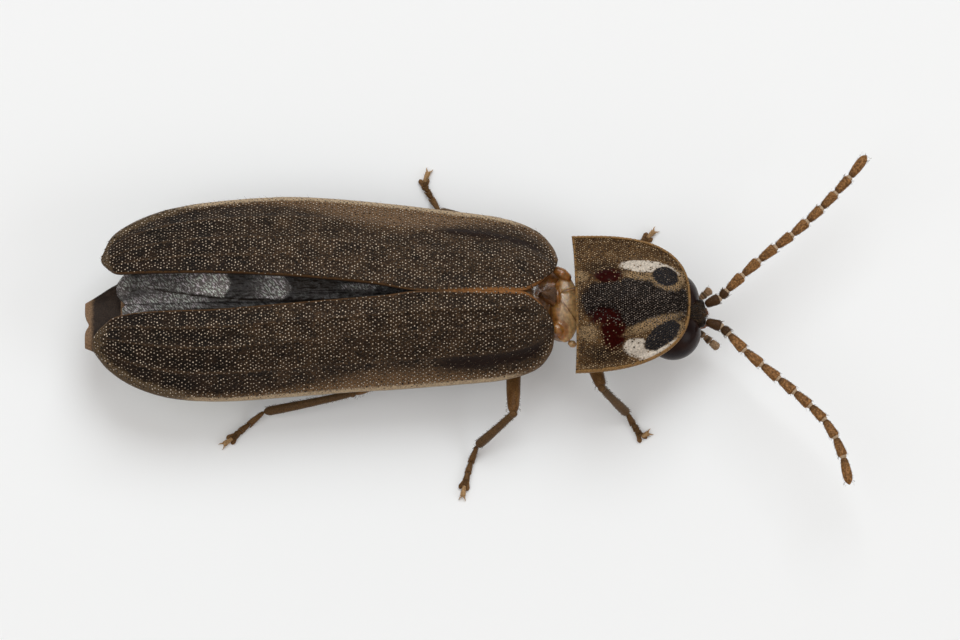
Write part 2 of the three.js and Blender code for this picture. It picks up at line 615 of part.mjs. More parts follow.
// The origin is on the floor, under the middle of the whole animal.
const middle = new THREE.Box3().setFromObject(firefly).getCenter(new THREE.Vector3());
firefly.position.set(-middle.x, -middle.y, 0);

export default firefly;
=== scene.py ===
# A winged adult firefly on a pale floor: fine skins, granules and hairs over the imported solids.
# Lengths are millimetres in the animal's own frame until to_metres(): +X to the head, +Y to its left, +Z up,
# with Y = 0 in the middle of the body, X = 0 where the wing cases part and Z = 0 on the floor.
import math

import bpy
import numpy as np
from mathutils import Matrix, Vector
from mathutils.kdtree import KDTree


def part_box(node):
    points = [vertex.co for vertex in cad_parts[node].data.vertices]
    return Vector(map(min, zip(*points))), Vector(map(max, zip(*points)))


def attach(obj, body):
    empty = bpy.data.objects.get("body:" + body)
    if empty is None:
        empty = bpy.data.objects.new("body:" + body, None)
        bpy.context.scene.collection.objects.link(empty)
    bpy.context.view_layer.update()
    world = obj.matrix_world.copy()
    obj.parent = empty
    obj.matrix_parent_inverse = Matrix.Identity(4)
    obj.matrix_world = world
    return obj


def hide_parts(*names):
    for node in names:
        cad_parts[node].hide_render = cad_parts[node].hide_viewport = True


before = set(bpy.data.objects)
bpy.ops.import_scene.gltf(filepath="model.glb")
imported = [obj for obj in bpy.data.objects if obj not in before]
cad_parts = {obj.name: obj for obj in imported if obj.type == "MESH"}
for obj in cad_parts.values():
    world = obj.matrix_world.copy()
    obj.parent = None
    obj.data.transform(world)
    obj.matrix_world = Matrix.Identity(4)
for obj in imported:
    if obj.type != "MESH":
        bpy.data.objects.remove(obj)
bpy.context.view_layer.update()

MM = 0.001
SCUTELLUM_TIP_X = 3.42
tip_low, tip_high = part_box("scutellum")
SHIFT = np.array([tip_low.x / MM - SCUTELLUM_TIP_X, (tip_low.y + tip_high.y) / 2 / MM, 0.0])
draws = np.random.default_rng(11)

# Wing cases: ribs [inner X, inner Y, outer X, outer Y] from base to tip, and heights along both margins.
RIBS = {
    "left": [
        [3.58, 0.33, 3.95, 0.95], [3.3, 0.12, 3.8, 1.34], [2.9, 0.08, 3.4, 1.77], [2.0, 0.08, 2.6, 2.1],
        [0.9, 0.08, 1.2, 2.31], [0.0, 0.11, 0.0, 2.46], [-1.2, 0.26, -1.3, 2.59], [-2.8, 0.41, -2.8, 2.67],
        [-4.4, 0.5, -4.4, 2.57], [-5.6, 0.52, -5.7, 2.36], [-6.5, 0.53, -6.6, 2.02], [-7.03, 0.53, -7.2, 1.6],
        [-7.28, 0.68, -7.45, 1.08],
    ],
    "right": [
        [3.58, 0.33, 3.86, 1.05], [3.3, 0.12, 3.76, 1.38], [2.9, 0.08, 3.4, 1.75], [2.0, 0.08, 2.6, 1.99],
        [0.9, 0.08, 1.2, 2.12], [0.0, 0.09, 0.0, 2.21], [-1.2, 0.16, -1.3, 2.29], [-2.8, 0.28, -2.8, 2.41],
        [-4.4, 0.4, -4.4, 2.52], [-5.6, 0.43, -5.7, 2.46], [-6.5, 0.46, -6.65, 2.18],
        [-7.1, 0.57, -7.28, 1.78], [-7.47, 0.82, -7.65, 1.34],
    ],
}
RIDGE_HEIGHTS = [3.02, 3.22, 3.32, 3.35, 3.34, 3.3, 3.25, 3.18, 3.08, 2.98, 2.86, 2.75, 2.58]
MARGIN_HEIGHTS = [2.5, 2.22, 2.02, 1.9, 1.84, 1.8, 1.8, 1.8, 1.82, 1.9, 2.02, 2.12, 2.24]
ROOF_ROUNDNESS = 2.3
ROOF_FLARE = 1.25
COSTA_PLACES = [0.22, 0.45, 0.72]
COSTA_HEIGHT = 0.045
CASE_THICKNESS = 0.12
CASE_FRONT_X = 4.05
CASE_LENGTH = 11.9
CASE_WIDTH = 2.9
TIP_BOW = 0.09
BASE_BOW = 0.09
SEAM_CLOSING = 0.078  # how far each case reaches in to meet the other one
CASE_GRAIN = 0.084  # spacing of the granules
WING_FRONT_X = 2.35
WING_TIP_X = {"left": -7.1, "right": -6.95}
WING_TIP_BEND = 0.22
WING_THICKNESS = 0.03
WING_DROP = {"left": 0.72, "right": 0.79}  # depth of each folded wing below the roof line of its case
WING_VEINS = [0.12, 0.4, 0.66, 0.88]
# Course of the crease along the upper wing.
FOLD_X = [-7.2, -6.1, -5.55, -4.9, -4.45, -3.0, 2.4]
FOLD_Y = [0.3, 0.23, 0.13, 0.03, -0.03, -0.1, -0.1]
FURROW_PLACE = {1: 0.72, -1: 0.79}  # share of the case's width at which the shoulder is sunk

# Shield over the head.
SHIELD_REAR_X = 4.38
SHIELD_LENGTH = 2.87
SHIELD_HALF_WIDTH = 1.73
SHIELD_MIDDLE_Y = -0.19
SHIELD_TURN = math.radians(1.5)
SHIELD_OUTLINE = 2.6
SHIELD_CORNER = 0.045
SHIELD_MIDDLE = [3.08, 3.22, 3.26, 3.2, 3.06, 2.86]
SHIELD_MARGIN = [2.46, 2.5, 2.56, 2.66, 2.76, 2.82]
SHIELD_FLARE = 1.5
SHIELD_THICKNESS = 0.14
SHIELD_GRAIN = 0.057

# Markings, painted glints and a painted shadow as soft ovals: strength, centre X and Y, half length, half
# width, turn in degrees, softness.
SPOTS = {
    "disc": [
        (1, 6.0, -0.24, 1.12, 0.64, 0, 0.25), (1, 5.1, -0.22, 0.6, 0.5, 0, 0.35),
        (1, 6.8, -0.22, 0.4, 0.55, 0, 0.3), (0.55, 5.1, 0.62, 0.62, 0.2, -4, 0.8),
        (0.6, 5.08, -1.48, 0.62, 0.22, -4, 0.8),
    ],
    "red": [
        (1, 5.2, 0.42, 0.36, 0.17, 2, 0.45), (1, 5.32, -1.0, 0.31, 0.38, 8, 0.4),
        (0.8, 5.1, -0.62, 0.4, 0.2, 0, 0.5),
    ],
    "tan": [
        (1, 6.66, 0.4, 0.43, 0.33, -15, 0.3), (0.8, 6.0, 0.42, 0.42, 0.12, -6, 0.5),
        (0.85, 6.3, -0.78, 0.72, 0.13, 20, 0.5), (1, 6.6, -1.12, 0.6, 0.33, 36, 0.25),
        (0.8, 4.55, 0.42, 0.15, 0.14, 0, 0.6), (0.8, 4.68, -1.0, 0.22, 0.2, 0, 0.6),
    ],
    "window": [
        (1, 6.05, 0.68, 0.57, 0.16, -2, 0.24), (1, 6.52, 0.62, 0.44, 0.15, -16, 0.24),
        (1, 5.92, -1.35, 0.34, 0.22, -4, 0.22), (1, 6.5, -1.38, 0.55, 0.12, 26, 0.28),
    ],
    "eyes": [(1, 6.62, 0.42, 0.32, 0.24, -15, 0.16), (1, 6.54, -1.05, 0.51, 0.235, 36, 0.14)],
    "plates": [
        (1, 4.05, 0.62, 0.34, 0.2, -32, 0.3), (1, 3.95, -0.84, 0.26, 0.26, 0, 0.3),
        (1, 3.9, 0.0, 0.14, 0.5, 0, 0.3),
    ],
    # Painted glints on the folded wings.
    "painted_glints": [
        (0.38, -5.75, -0.1, 0.9, 0.28, 0, 0.5), (0.45, -6.65, -0.25, 0.4, 0.22, 0, 0.5),
        (0.3, -1.0, 0.22, 0.5, 0.1, 0, 0.4), (0.25, -6.2, 0.4, 0.5, 0.2, 0, 0.4),
        (0.4, -7.0, 0.42, 0.3, 0.35, 0, 0.5),
    ],
    # A painted shadow on the folded wing.
    "wing_shadow": [(0.5, -4.1, 0.5, 0.2, 0.2, 0, 0.5)],
}

# Head.
HEAD_PLACE = np.array([6.81, -0.335, 1.62])
HEAD_TURN = math.radians(3)
EYE_OUT = 0.42
EYE_RADII = np.array([0.7, 0.7, 0.64])

# Middle body as stations [X, middle Y, half width, lowest Z, highest Z].
PROTHORAX = [
    [4.47, -0.06, 0.75, 1.32, 2.35], [4.75, -0.08, 0.95, 1.16, 2.42], [5.4, -0.12, 1.0, 1.12, 2.5],
    [5.78, -0.17, 0.8, 1.25, 2.45], [5.95, -0.2, 0.62, 1.4, 2.3],
]
MESOTHORAX = [
    [2.5, 0, 1.35, 1.04, 2.1], [2.75, 0, 1.4, 1.0, 2.2], [3.3, 0, 1.2, 1.02, 2.34],
    [3.8, 0, 0.88, 1.16, 2.36], [4.1, -0.12, 0.9, 1.3, 2.3], [4.34, -0.2, 0.85, 1.4, 2.28],
]
METATHORAX = [
    [0.9, 0, 1.45, 1.08, 1.66], [1.15, 0, 1.55, 1.0, 1.7], [1.7, 0, 1.6, 0.98, 1.74],
    [2.2, 0, 1.55, 1.0, 1.78], [2.46, 0, 1.45, 1.08, 1.8],
]
ABDOMEN_RINGS = [
    [0.8, 0, 1.55, 1.08, 1.63], [-0.35, 0, 1.8, 1.0, 1.63], [-1.6, -0.02, 1.92, 0.98, 1.63],
    [-2.85, -0.06, 1.92, 0.98, 1.63], [-4.05, -0.13, 1.8, 1.0, 1.63], [-5.15, -0.22, 1.6, 1.02, 1.63],
    [-6.0, -0.34, 1.34, 1.04, 1.61], [-6.7, -0.46, 1.06, 1.08, 1.6], [-7.6, -0.56, 0.56, 1.2, 1.58],
]
# Folds and plates of the soft skin behind the shield: start, end, and radii at the start, middle and end.
SOFT_FOLDS = [
    ((3.84, 0.72, 2.4), (4.27, 0.45, 2.4), (0.1, 0.15, 0.08)),
    ((3.82, -0.7, 2.4), (4.06, -0.92, 2.34), (0.12, 0.17, 0.12)),
    ((3.93, 0.18, 2.48), (3.95, -0.18, 2.48), (0.05, 0.065, 0.05)),
    ((4.04, 0.12, 2.5), (4.38, 0.2, 2.46), (0.02, 0.03, 0.02)),
    ((4.02, -0.1, 2.5), (4.34, -0.5, 2.46), (0.02, 0.03, 0.02)),
    ((4.2, -1.1, 2.2), (4.4, -1.2, 2.2), (0.05, 0.1, 0.06)),
]

# Legs: where each coxa leaves the body and ends, the knee, the ankle and the joints of the foot.
LEGS = {
    "leg_front_left": [
        [4.95, 0.3, 1.3], [5.1, 0.52, 0.72], [5.7, 1.42, 1.5], [5.78, 1.5, 0.3],
        [5.92, 1.64], [6.02, 1.74], [6.12, 1.84], [6.22, 1.93], [6.38, 2.08],
    ],
    "leg_front_right": [
        [4.75, -0.5, 1.3], [4.62, -0.74, 0.72], [5.05, -2.15, 1.5], [5.7, -2.59, 0.3],
        [5.84, -2.81], [5.93, -2.95], [6.0, -3.07], [6.06, -3.16], [6.21, -3.08],
    ],
    "leg_middle_left": [
        [2.95, 0.6, 1.2], [2.8, 0.9, 0.56], [2.1, 2.12, 1.05], [0.98, 2.56, 0.3],
        [0.78, 2.94], [0.68, 3.12], [0.61, 3.25], [0.59, 3.36], [0.68, 3.6],
    ],
    "leg_middle_right": [
        [2.95, -0.6, 1.2], [2.85, -0.9, 0.56], [2.83, -2.78, 1.35], [1.93, -3.42, 0.3],
        [1.78, -3.78], [1.7, -4.06], [1.65, -4.26], [1.61, -4.4], [1.57, -4.64],
    ],
    "leg_hind_left": [
        [1.45, 0.65, 1.2], [1.2, 0.95, 0.54], [-0.95, 2.0, 0.95], [-2.95, 2.1, 0.3],
        [-3.4, 2.16], [-3.66, 2.19], [-3.85, 2.21], [-3.98, 2.22], [-4.2, 2.2],
    ],
    "leg_hind_right": [
        [1.45, -0.65, 1.2], [1.2, -0.95, 0.54], [-1.2, -2.2, 0.98], [-3.44, -2.56, 0.3],
        [-3.8, -2.83], [-4.02, -3.0], [-4.15, -3.12], [-4.24, -3.2], [-4.42, -3.33],
    ],
}

# Limb joints as (share of the length, radius).
COXA = [(0, 0.27), (0.6, 0.25), (1, 0.17)]
THIGH = [(0, 0.1), (0.15, 0.155), (0.4, 0.185), (0.7, 0.175), (0.92, 0.14), (1, 0.115)]
SHIN = [(0, 0.075), (0.08, 0.09), (0.4, 0.1), (0.75, 0.118), (0.93, 0.118), (1, 0.09)]
FOOT_JOINT = [(0, 0.045), (0.3, 0.062), (0.85, 0.085), (1, 0.07)]
CLAW_JOINT = [(0, 0.045), (0.5, 0.06), (0.9, 0.072), (1, 0.058)]

# Antennae and palps as chains of joints: lengths, and headings in degrees from +X towards +Y. For each palp:
# root on the head, lengths and heading.
ANTENNA_LENGTHS = [0.41, 0.25, 0.56, 0.55, 0.54, 0.51, 0.51, 0.49, 0.52, 0.52, 0.7]
ANTENNA_HEADINGS = {
    "left": [23, 48, 44, 42, 38, 37, 41, 43, 46, 48, 53],
    "right": [-19.5, -47.5, -47.5, -41.5, -40.5, -41.5, -42.5, -45.5, -59.5, -69.5, -78.5],
}
ANTENNA_STRETCH = {"left": 1.0, "right": 1.03}
ANTENNA_ROOT = np.array([0.84, 0.215, 0.14])
ANTENNA_RISE = math.radians(5)
LAST_JOINT = len(ANTENNA_LENGTHS) - 1
ANTENNA_SHAPES = {
    0: ([(0, 0.07), (0.25, 0.11), (0.7, 0.14), (1, 0.125)], 0.9),
    1: ([(0, 0.06), (0.4, 0.115), (0.8, 0.12), (1, 0.1)], 0.9),
    LAST_JOINT: ([(0, 0.06), (0.06, 0.085), (0.35, 0.118), (0.65, 0.124), (0.87, 0.1), (1, 0.06)], 0.75),
}
PALP_RADII = [(0.06, 0.085), (0.07, 0.1), (0.085, 0.11)]
PALPS = {
    "left": ([0.66, 0.45, -0.7], [0.16, 0.14, 0.2], 42),
    "right": ([0.62, -0.27, -0.7], [0.26, 0.2, 0.27], -39),
}
SIDES = {"left": 1, "right": -1}

# Finish: linear colours.
BLACK_BROWN = (0.009, 0.005, 0.0027)
DARK_BROWN = (0.028, 0.0145, 0.0072)
RED_BROWN = (0.2, 0.115, 0.057)
TAN = (0.55, 0.41, 0.26)
SMOKE = (0.125, 0.082, 0.044)
GOLD = (0.34, 0.19, 0.072)
WINDOW_WHITE = (0.7, 0.61, 0.51)
LAMP_WHITE = (0.915, 0.97, 1.0)  # cool lamps and a warmer room, so that shadows are slightly warm
ROOM_WHITE = (1.0, 0.885, 0.8, 1)
MATT = {"Specular IOR Level": 0.12}
SATIN = {"Specular IOR Level": 0.3}
AMBER_GLOSS = {"Coat Weight": 0.2, "Coat Roughness": 0.12, "Subsurface Weight": 0.25,
               "Subsurface Scale": 0.0003}

# Each skin: base colour, second colour and colours painted by mask, then its finish.
CUTICLES = {
    "wing_case": ((BLACK_BROWN, DARK_BROWN, [
        ("warm", RED_BROWN), ("smoky", SMOKE), ("seam", (0.11, 0.055, 0.022)), ("amber", (0.31, 0.13, 0.038)),
        # The shoulder furrow's colour is partly the bare cuticle's own darker tone and partly painted shade
        # in the hollow.
        ("furrow", (0.016, 0.006, 0.003)), ("pale", TAN),
    ]), {"roughness": 0.6, "grain": 0.04, **MATT}),
    "shield": (((0.105, 0.053, 0.02), (0.165, 0.088, 0.035), [
        ("disc", (0.007, 0.004, 0.003)), ("red", (0.028, 0.0014, 0.0005)), ("tan", (0.4, 0.26, 0.13)),
        ("window", WINDOW_WHITE), ("eye_shadow", (0.016, 0.016, 0.02)), ("gold", GOLD),
    ]), {"roughness": 0.4, "grain": 0.04, "depth": 0.008, "Specular IOR Level": 0.04}),
    "thorax": (((0.05, 0.028, 0.015), (0.08, 0.045, 0.024), [("dark", DARK_BROWN)]), SATIN),
    "amber": (((0.3, 0.11, 0.02), (0.46, 0.21, 0.055), [
        ("membrane", (0.52, 0.31, 0.13)), ("lines", (0.16, 0.06, 0.012)), ("below", (0.09, 0.05, 0.025)),
    ]), {"roughness": 0.28, "grain": 0.09, "depth": 0.006, **AMBER_GLOSS}),
    "scutellum": (((0.07, 0.033, 0.014), (0.13, 0.06, 0.024), [("edge", (0.32, 0.12, 0.03))]),
                  {"roughness": 0.4, **SATIN}),
    "abdomen": (((0.035, 0.022, 0.014), (0.06, 0.036, 0.022), [("rear", (0.12, 0.075, 0.04))]),
                {"stretch": (0.6, 1, 1), **SATIN}),
    "lantern": (((0.62, 0.57, 0.36), (0.72, 0.68, 0.5), [("rear", (0.7, 0.65, 0.44))]),
                {"roughness": 0.3, "grain": 0.12, "depth": 0.004, "Subsurface Weight": 0.4,
                 "Subsurface Scale": 0.0004}),
    "tail": (((0.026, 0.015, 0.01), (0.048, 0.029, 0.019), [("rear", (0.3, 0.18, 0.1))]), MATT),
    "head": (((0.012, 0.008, 0.006), (0.022, 0.014, 0.009), [("mouth", (0.1, 0.045, 0.018))]), MATT),
    "antenna": (((0.2, 0.086, 0.026), (0.46, 0.225, 0.08), [
        ("dark", (0.075, 0.034, 0.013)), ("pale", (0.56, 0.4, 0.26)),
    ]), {"roughness": 0.4, "mottle": 0.05, "grain": 0.025, **MATT}),
    "palp": (((0.32, 0.19, 0.1), (0.44, 0.29, 0.17), [("dark", (0.1, 0.06, 0.03))]),
             {"roughness": 0.4, **MATT}),
    "mandible": (((0.16, 0.05, 0.014), (0.24, 0.08, 0.02)), {"roughness": 0.2, **AMBER_GLOSS}),
    "leg": (((0.15, 0.068, 0.02), (0.23, 0.115, 0.04), [
        ("dark", (0.12, 0.067, 0.028)), ("pale", (0.5, 0.3, 0.14)),
    ]), {"roughness": 0.4, **MATT}),
}
SHEET_WHITE = (0.9, 0.905, 0.91, 1)

# Stage: half width of the floor sheet in metres, strength of the room's light, and the camera's place.
FLOOR_HALF_WIDTH = 0.6
ROOM_STRENGTH = 0.37
VIEW_TARGET = (2.0, -0.51, 2.0)
VIEW_HEIGHT = 80  # degrees above the floor
VIEW_DISTANCE = 200.0
VIEW_WIDTH = 24


def to_metres(points):
    return (np.asarray(points, float) + SHIFT) * MM


def held(values):
    """Values kept between 0 and 1."""
    return np.clip(values, 0, 1)


def rise(low, high, value):
    """0 at low, 1 at high and beyond, with a smooth rise between them."""
    share = held((np.asarray(value, float) - low) / (high - low))
    return share * share * (3 - 2 * share)


def fall(low, high, value):
    """1 at low, 0 at high and beyond."""
    return 1 - rise(low, high, value)


def joined(*values):
    """Numbers side by side along a new last axis."""
    return np.stack(values, axis=-1)


def lerp(a, b, t):
    return a + (b - a) * t


def along(values, t):
    """Value of a smooth line through evenly spaced values, at share t of its length."""
    values = np.asarray(values, float)
    place = held(t) * (len(values) - 1)
    i = np.minimum(np.floor(place).astype(int), len(values) - 2)
    s = place - i
    step = values[i + 1] - values[i]
    leave = (values[i + 1] - values[np.maximum(i - 1, 0)]) / 2
    arrive = (values[np.minimum(i + 2, len(values) - 1)] - values[i]) / 2
    started = values[i] + s * leave + s * s * (3 * step - 2 * leave - arrive)
    return started + s**3 * (leave + arrive - 2 * step)


def eased(count):
    """Shares from 0 to 1, closer together near both ends."""
    return (1 - np.cos(np.linspace(0, math.pi, count))) / 2


def unit(vectors):
    vectors = np.asarray(vectors, float)
    return vectors / np.maximum(np.linalg.norm(vectors, axis=-1, keepdims=True), 1e-12)


def bell(away, width):
    """A smooth bump: 1 where away is 0, and gone a little beyond that width."""
    return np.exp(-((away / width) ** 2))


def rolled(away, reach):
    """How far a rounded edge has dropped, from 1 at the edge to 0 at that reach from it."""
    turned = held(1 - away / reach)
    return 1 - np.sqrt(held(1 - turned**2))


def most(*masks):
    return np.maximum.reduce(masks)


def ripple(x, y, size, seed=0.0):
    """Smooth irregular waves between about -1 and 1, for uneven surfaces and edges."""
    total = 0
    for i in range(5):
        angle = 2.4 * i + seed
        way = x * math.cos(angle) + y * math.sin(angle)
        total = total + np.sin(way * 6.28 / size * (1 + 0.23 * i) + 1.7 * i)
    return total / 3


def spot(x, y, centre_x, centre_y, half_length, half_width, turn, soft):
    """A soft-edged oval: 1 inside, 0 outside."""
    c, n = math.cos(math.radians(turn)), math.sin(math.radians(turn))
    dx, dy = x - centre_x, y - centre_y
    reach = np.hypot((dx * c + dy * n) / half_length, (dy * c - dx * n) / half_width)
    reach = reach + 0.05 * ripple(x, y, 0.35, 1.0) + 0.03 * ripple(x, y, 0.12, 3.0)
    return fall(1 - soft, 1 + soft, reach)


def spots(x, y, name):
    """The strongest of the soft ovals listed under that name."""
    return most(*(strength * spot(x, y, *oval) for strength, *oval in SPOTS[name]))


# Meshes.
def grid_faces(rows, columns, wrap=False):
    width = columns if wrap else columns - 1
    row, column = np.divmod(np.arange((rows - 1) * width), width)
    start, next_start, after = row * columns, (row + 1) * columns, (column + 1) % columns
    return joined(start + column, start + after, next_start + after, next_start + column)


def signed_volume(points, groups):
    total = 0.0
    for group in groups:
        for k in range(1, group.shape[1] - 1):
            a, b, c = points[group[:, 0]], points[group[:, k]], points[group[:, k + 1]]
            total += np.einsum("ij,ij->", a, np.cross(b, c))
    return total


class Form:
    """Closed shapes and the masks that colour them, gathered into one piece."""

    def __init__(self):
        self.points, self.faces, self.masks, self.count = [], [], [], 0

    def add(self, points, groups, **masks):
        points = np.asarray(points, float).reshape(-1, 3)
        if signed_volume(points - points.mean(axis=0), groups) < 0:
            groups = [group[:, ::-1] for group in groups]
        self.points.append(points)
        self.faces += [group + self.count for group in groups]
        self.masks.append((len(points), masks))
        self.count += len(points)

    def mask(self, name):
        values = []
        for count, masks in self.masks:
            values.append(np.broadcast_to(np.asarray(masks.get(name, 0.0), float).reshape(-1), (count,)))
        return np.concatenate(values)

    def piece(self, node, material, slot):
        """Make the skin that stands in for the solid node of that name."""
        names = sorted({key for _, masks in self.masks for key in masks})
        masks = {key: self.mask(key) for key in names}
        points = np.concatenate(self.points)
        make_piece(f"skin_{node}", points, self.faces, material, masks, nodes=[node])


def fill_mesh(mesh, points, groups):
    corners = np.concatenate([group.ravel() for group in groups]).astype(np.int32)
    sizes = np.concatenate([np.full(len(group), group.shape[1]) for group in groups]).astype(np.int32)
    starts = np.concatenate([[0], np.cumsum(sizes)[:-1]]).astype(np.int32)
    mesh.vertices.add(len(points))
    mesh.vertices.foreach_set("co", to_metres(points).ravel())
    mesh.loops.add(len(corners))
    mesh.loops.foreach_set("vertex_index", corners)
    mesh.polygons.add(len(sizes))
    mesh.polygons.foreach_set("loop_start", starts)
    mesh.polygons.foreach_set("loop_total", sizes)
    mesh.polygons.foreach_set("use_smooth", np.full(len(sizes), True))
    mesh.update(calc_edges=True)
    mesh.validate()
    return corners


def make_piece(name, points, groups, material, masks, unwrap=None, nodes=()):
    mesh = bpy.data.meshes.new(name)
    corners = fill_mesh(mesh, points, groups)
    for key, values in masks.items():
        layer = mesh.attributes.new(key, "FLOAT", "POINT")
        layer.data.foreach_set("value", np.asarray(values, np.float32))
    if unwrap is not None:
        mesh.uv_layers.new(name="OFBake").data.foreach_set("uv", unwrap[corners].astype(np.float32).ravel())
    mesh.materials.append(material)
    piece = placed(name, mesh)
    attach(piece, "root")
    if nodes:
        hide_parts(*nodes)


def placed(name, data):
    """An object of that mesh, light or camera, put into the scene."""
    thing = bpy.data.objects.new(name, data)
    bpy.context.scene.collection.objects.link(thing)
    return thing


def sheet_piece(node, top, bottom, masks, material, slot):
    """A plate between two grids of points, with the same masks on both sides, in place of that node."""
    form = Form()
    form.add(*closed_sheet(top, bottom), **{key: np.tile(mask.ravel(), 2) for key, mask in masks.items()})
    form.piece(node, material, slot)


def tube(rings, start, end):
    """Points and faces of a closed tube through rings of points, with a point at each end."""
    count, sides = rings.shape[:2]
    first = np.arange(sides)
    last, after = first + (count - 1) * sides, (first + 1) % sides
    caps = np.concatenate([
        joined(np.full(sides, count * sides), after, first),
        joined(np.full(sides, count * sides + 1), last, last[after]),
    ])
    return np.concatenate([rings.reshape(-1, 3), [start], [end]]), [grid_faces(count, sides, wrap=True), caps]


def squared_ring(sides, above, below):
    """Directions (c, n) round a ring and how far each one reaches; higher powers make it squarer."""
    angle = np.arange(sides) / sides * 2 * math.pi
    c, n = np.cos(angle), np.sin(angle)
    power = np.where(n > 0, above, below)
    return c, n, np.power(np.abs(c) ** power + np.abs(n) ** power, -1 / power)


def closed_sheet(top, bottom):
    """Points and faces of a plate between two grids of points."""
    rows, columns = top.shape[:2]
    faces = grid_faces(rows, columns)
    size = rows * columns
    index = np.arange(size).reshape(rows, columns)
    edge = np.concatenate([index[0, :], index[1:, -1], index[-1, -2::-1], index[-2:0:-1, 0]])
    after = np.roll(edge, -1)
    rim = joined(edge, edge + size, after + size, after)
    return np.concatenate([top.reshape(-1, 3), bottom.reshape(-1, 3)]), [faces, faces[:, ::-1] + size, rim]


def swept(path, radii, sides=16):
    """A closed form round a path. Radii are one number or (across, upwards) for each point."""
    path, radii = np.asarray(path, float), np.asarray(radii, float)
    if radii.ndim == 1:
        radii = joined(radii, radii)
    ahead = unit(np.gradient(path, axis=0))
    reference = np.array([0, 0, 1.0])
    if abs(np.dot(unit(path[-1] - path[0]), reference)) > 0.9:
        reference = np.array([1.0, 0, 0])
    across = unit(np.cross(reference, ahead))
    upward = np.cross(ahead, across)
    angle = np.arange(sides) / sides * 2 * math.pi
    rings = (path[:, None] + across[:, None] * (radii[:, 0, None] * np.cos(angle))[..., None]
             + upward[:, None] * (radii[:, 1, None] * np.sin(angle))[..., None])
    return tube(rings[1:-1], path[0], path[-1])


def limb(start, end, profile, rings=18, sides=16, bow=(0, 0, 0), flat=1.0, ends=(0.12, 0.12)):
    """A swept joint of a limb. The profile lists (share of the way, radius), and the ends are rounded off."""
    t = eased(rings)
    shares, sizes = zip(*profile)
    radius = np.interp(t, shares, sizes)
    for reach, away in ((ends[0], t), (ends[1], 1 - t)):
        inside = held(1 - away / reach)
        radius = radius * np.sqrt(held(1 - inside**2))
    path = lerp(np.asarray(start, float), np.asarray(end, float), t[:, None])
    path = path + np.asarray(bow, float) * np.sin(t * math.pi)[:, None]
    return swept(path, joined(radius, radius * flat), sides)


def globe(centre, radii, rings=24, sides=32):
    t = np.linspace(0, math.pi, rings)
    path = np.asarray(centre, float) + np.outer(-np.cos(t), [radii[0], 0, 0])
    return swept(path, joined(np.sin(t) * radii[1], np.sin(t) * radii[2]), sides)


def tufts(name, roots, ahead, normals, lengths, widths, places, material, lift=0.35):
    """Short hairs as three-sided slivers that leave the skin at a low angle and taper to a point."""
    count = len(roots)
    lengths, widths = np.broadcast_to(lengths, count), np.broadcast_to(widths, count)
    across = unit(np.cross(normals, ahead))
    middle = roots + (ahead * 0.5 + normals * lift) * lengths[:, None]
    tip = roots + (ahead + normals * lift) * lengths[:, None]
    points = []
    for centre, share in ((roots - normals * 0.01, 1.0), (middle, 0.75)):
        for k in range(3):
            angle = k * 2.0944
            offset = across * math.cos(angle) + normals * math.sin(angle)
            points.append(centre + offset * (widths * share / 2)[:, None])
    points = np.stack([*points, tip], axis=1)
    base = np.arange(count)[:, None] * 7
    quads = np.concatenate([base + np.array([[k, (k + 1) % 3, 3 + (k + 1) % 3, 3 + k]]) for k in range(3)])
    ends = [[2, 1, 0]] + [[3 + k, 3 + (k + 1) % 3, 6] for k in range(3)]
    points, groups = points.reshape(-1, 3), [quads, np.concatenate([base + np.array([end]) for end in ends])]
    patch = np.array([[0, 0], [1, 0], [0.5, 0.5], [0, 1], [1, 1], [0.5, 1.2], [0.5, 1.5]]) * 0.002
    unwrap = (places[:, None] + patch[None]).reshape(-1, 2)
    make_piece(name, points, groups, material, {}, unwrap)


def granules(name, roots, normals, radii, heights, places, tone, material):
    """Low domes on a skin, each with a tone of its own and a painted glint that grows towards its top."""
    sides = 7
    helper = np.where(np.abs(normals[:, :1]) < 0.8, [[1.0, 0, 0]], [[0, 1.0, 0]])
    across = unit(np.cross(normals, helper))
    other = np.cross(normals, across)
    k = np.arange(sides)
    angle = k / sides * 2 * math.pi
    circle = across[:, None] * np.cos(angle)[None, :, None] + other[:, None] * np.sin(angle)[None, :, None]
    rings = []
    for width, height in ((1.0, -0.35), (0.75, 0.6), (0.42, 0.92)):
        rings.append(roots[:, None] + circle * (radii * width)[:, None, None]
                     + (normals * (heights * height)[:, None])[:, None])
    apex = (roots + normals * heights[:, None])[:, None]
    points = np.concatenate([*rings, apex], axis=1)
    tops = joined(k + 2 * sides, (k + 1) % sides + 2 * sides, np.full(sides, 3 * sides))
    bottoms = joined(np.zeros(sides - 2, int), k[2:], k[1:-1])
    base = np.arange(len(roots))[:, None, None] * (3 * sides + 1)
    groups = [(base + grid_faces(3, sides, wrap=True)[None]).reshape(-1, 4),
              (base + np.concatenate([tops, bottoms])[None]).reshape(-1, 3)]
    ring = joined(np.cos(angle), np.sin(angle))
    spread = np.concatenate([ring, ring * 0.6, ring * 0.3, [[0, 0]]])
    unwrap = (places[:, None] + spread[None] * 0.0015).reshape(-1, 2)
    # Painted glint: the 'pale' mask grows from the base ring to the apex and stands for light caught on each
    # dome's top.
    painted_glint = np.repeat([0.0, 0.12, 0.7, 1.0], [sides, sides, sides, 1])
    masks = {"pale": (tone[:, None] * painted_glint[None]).ravel()}
    make_piece(name, points.reshape(-1, 3), groups, material, masks, unwrap)


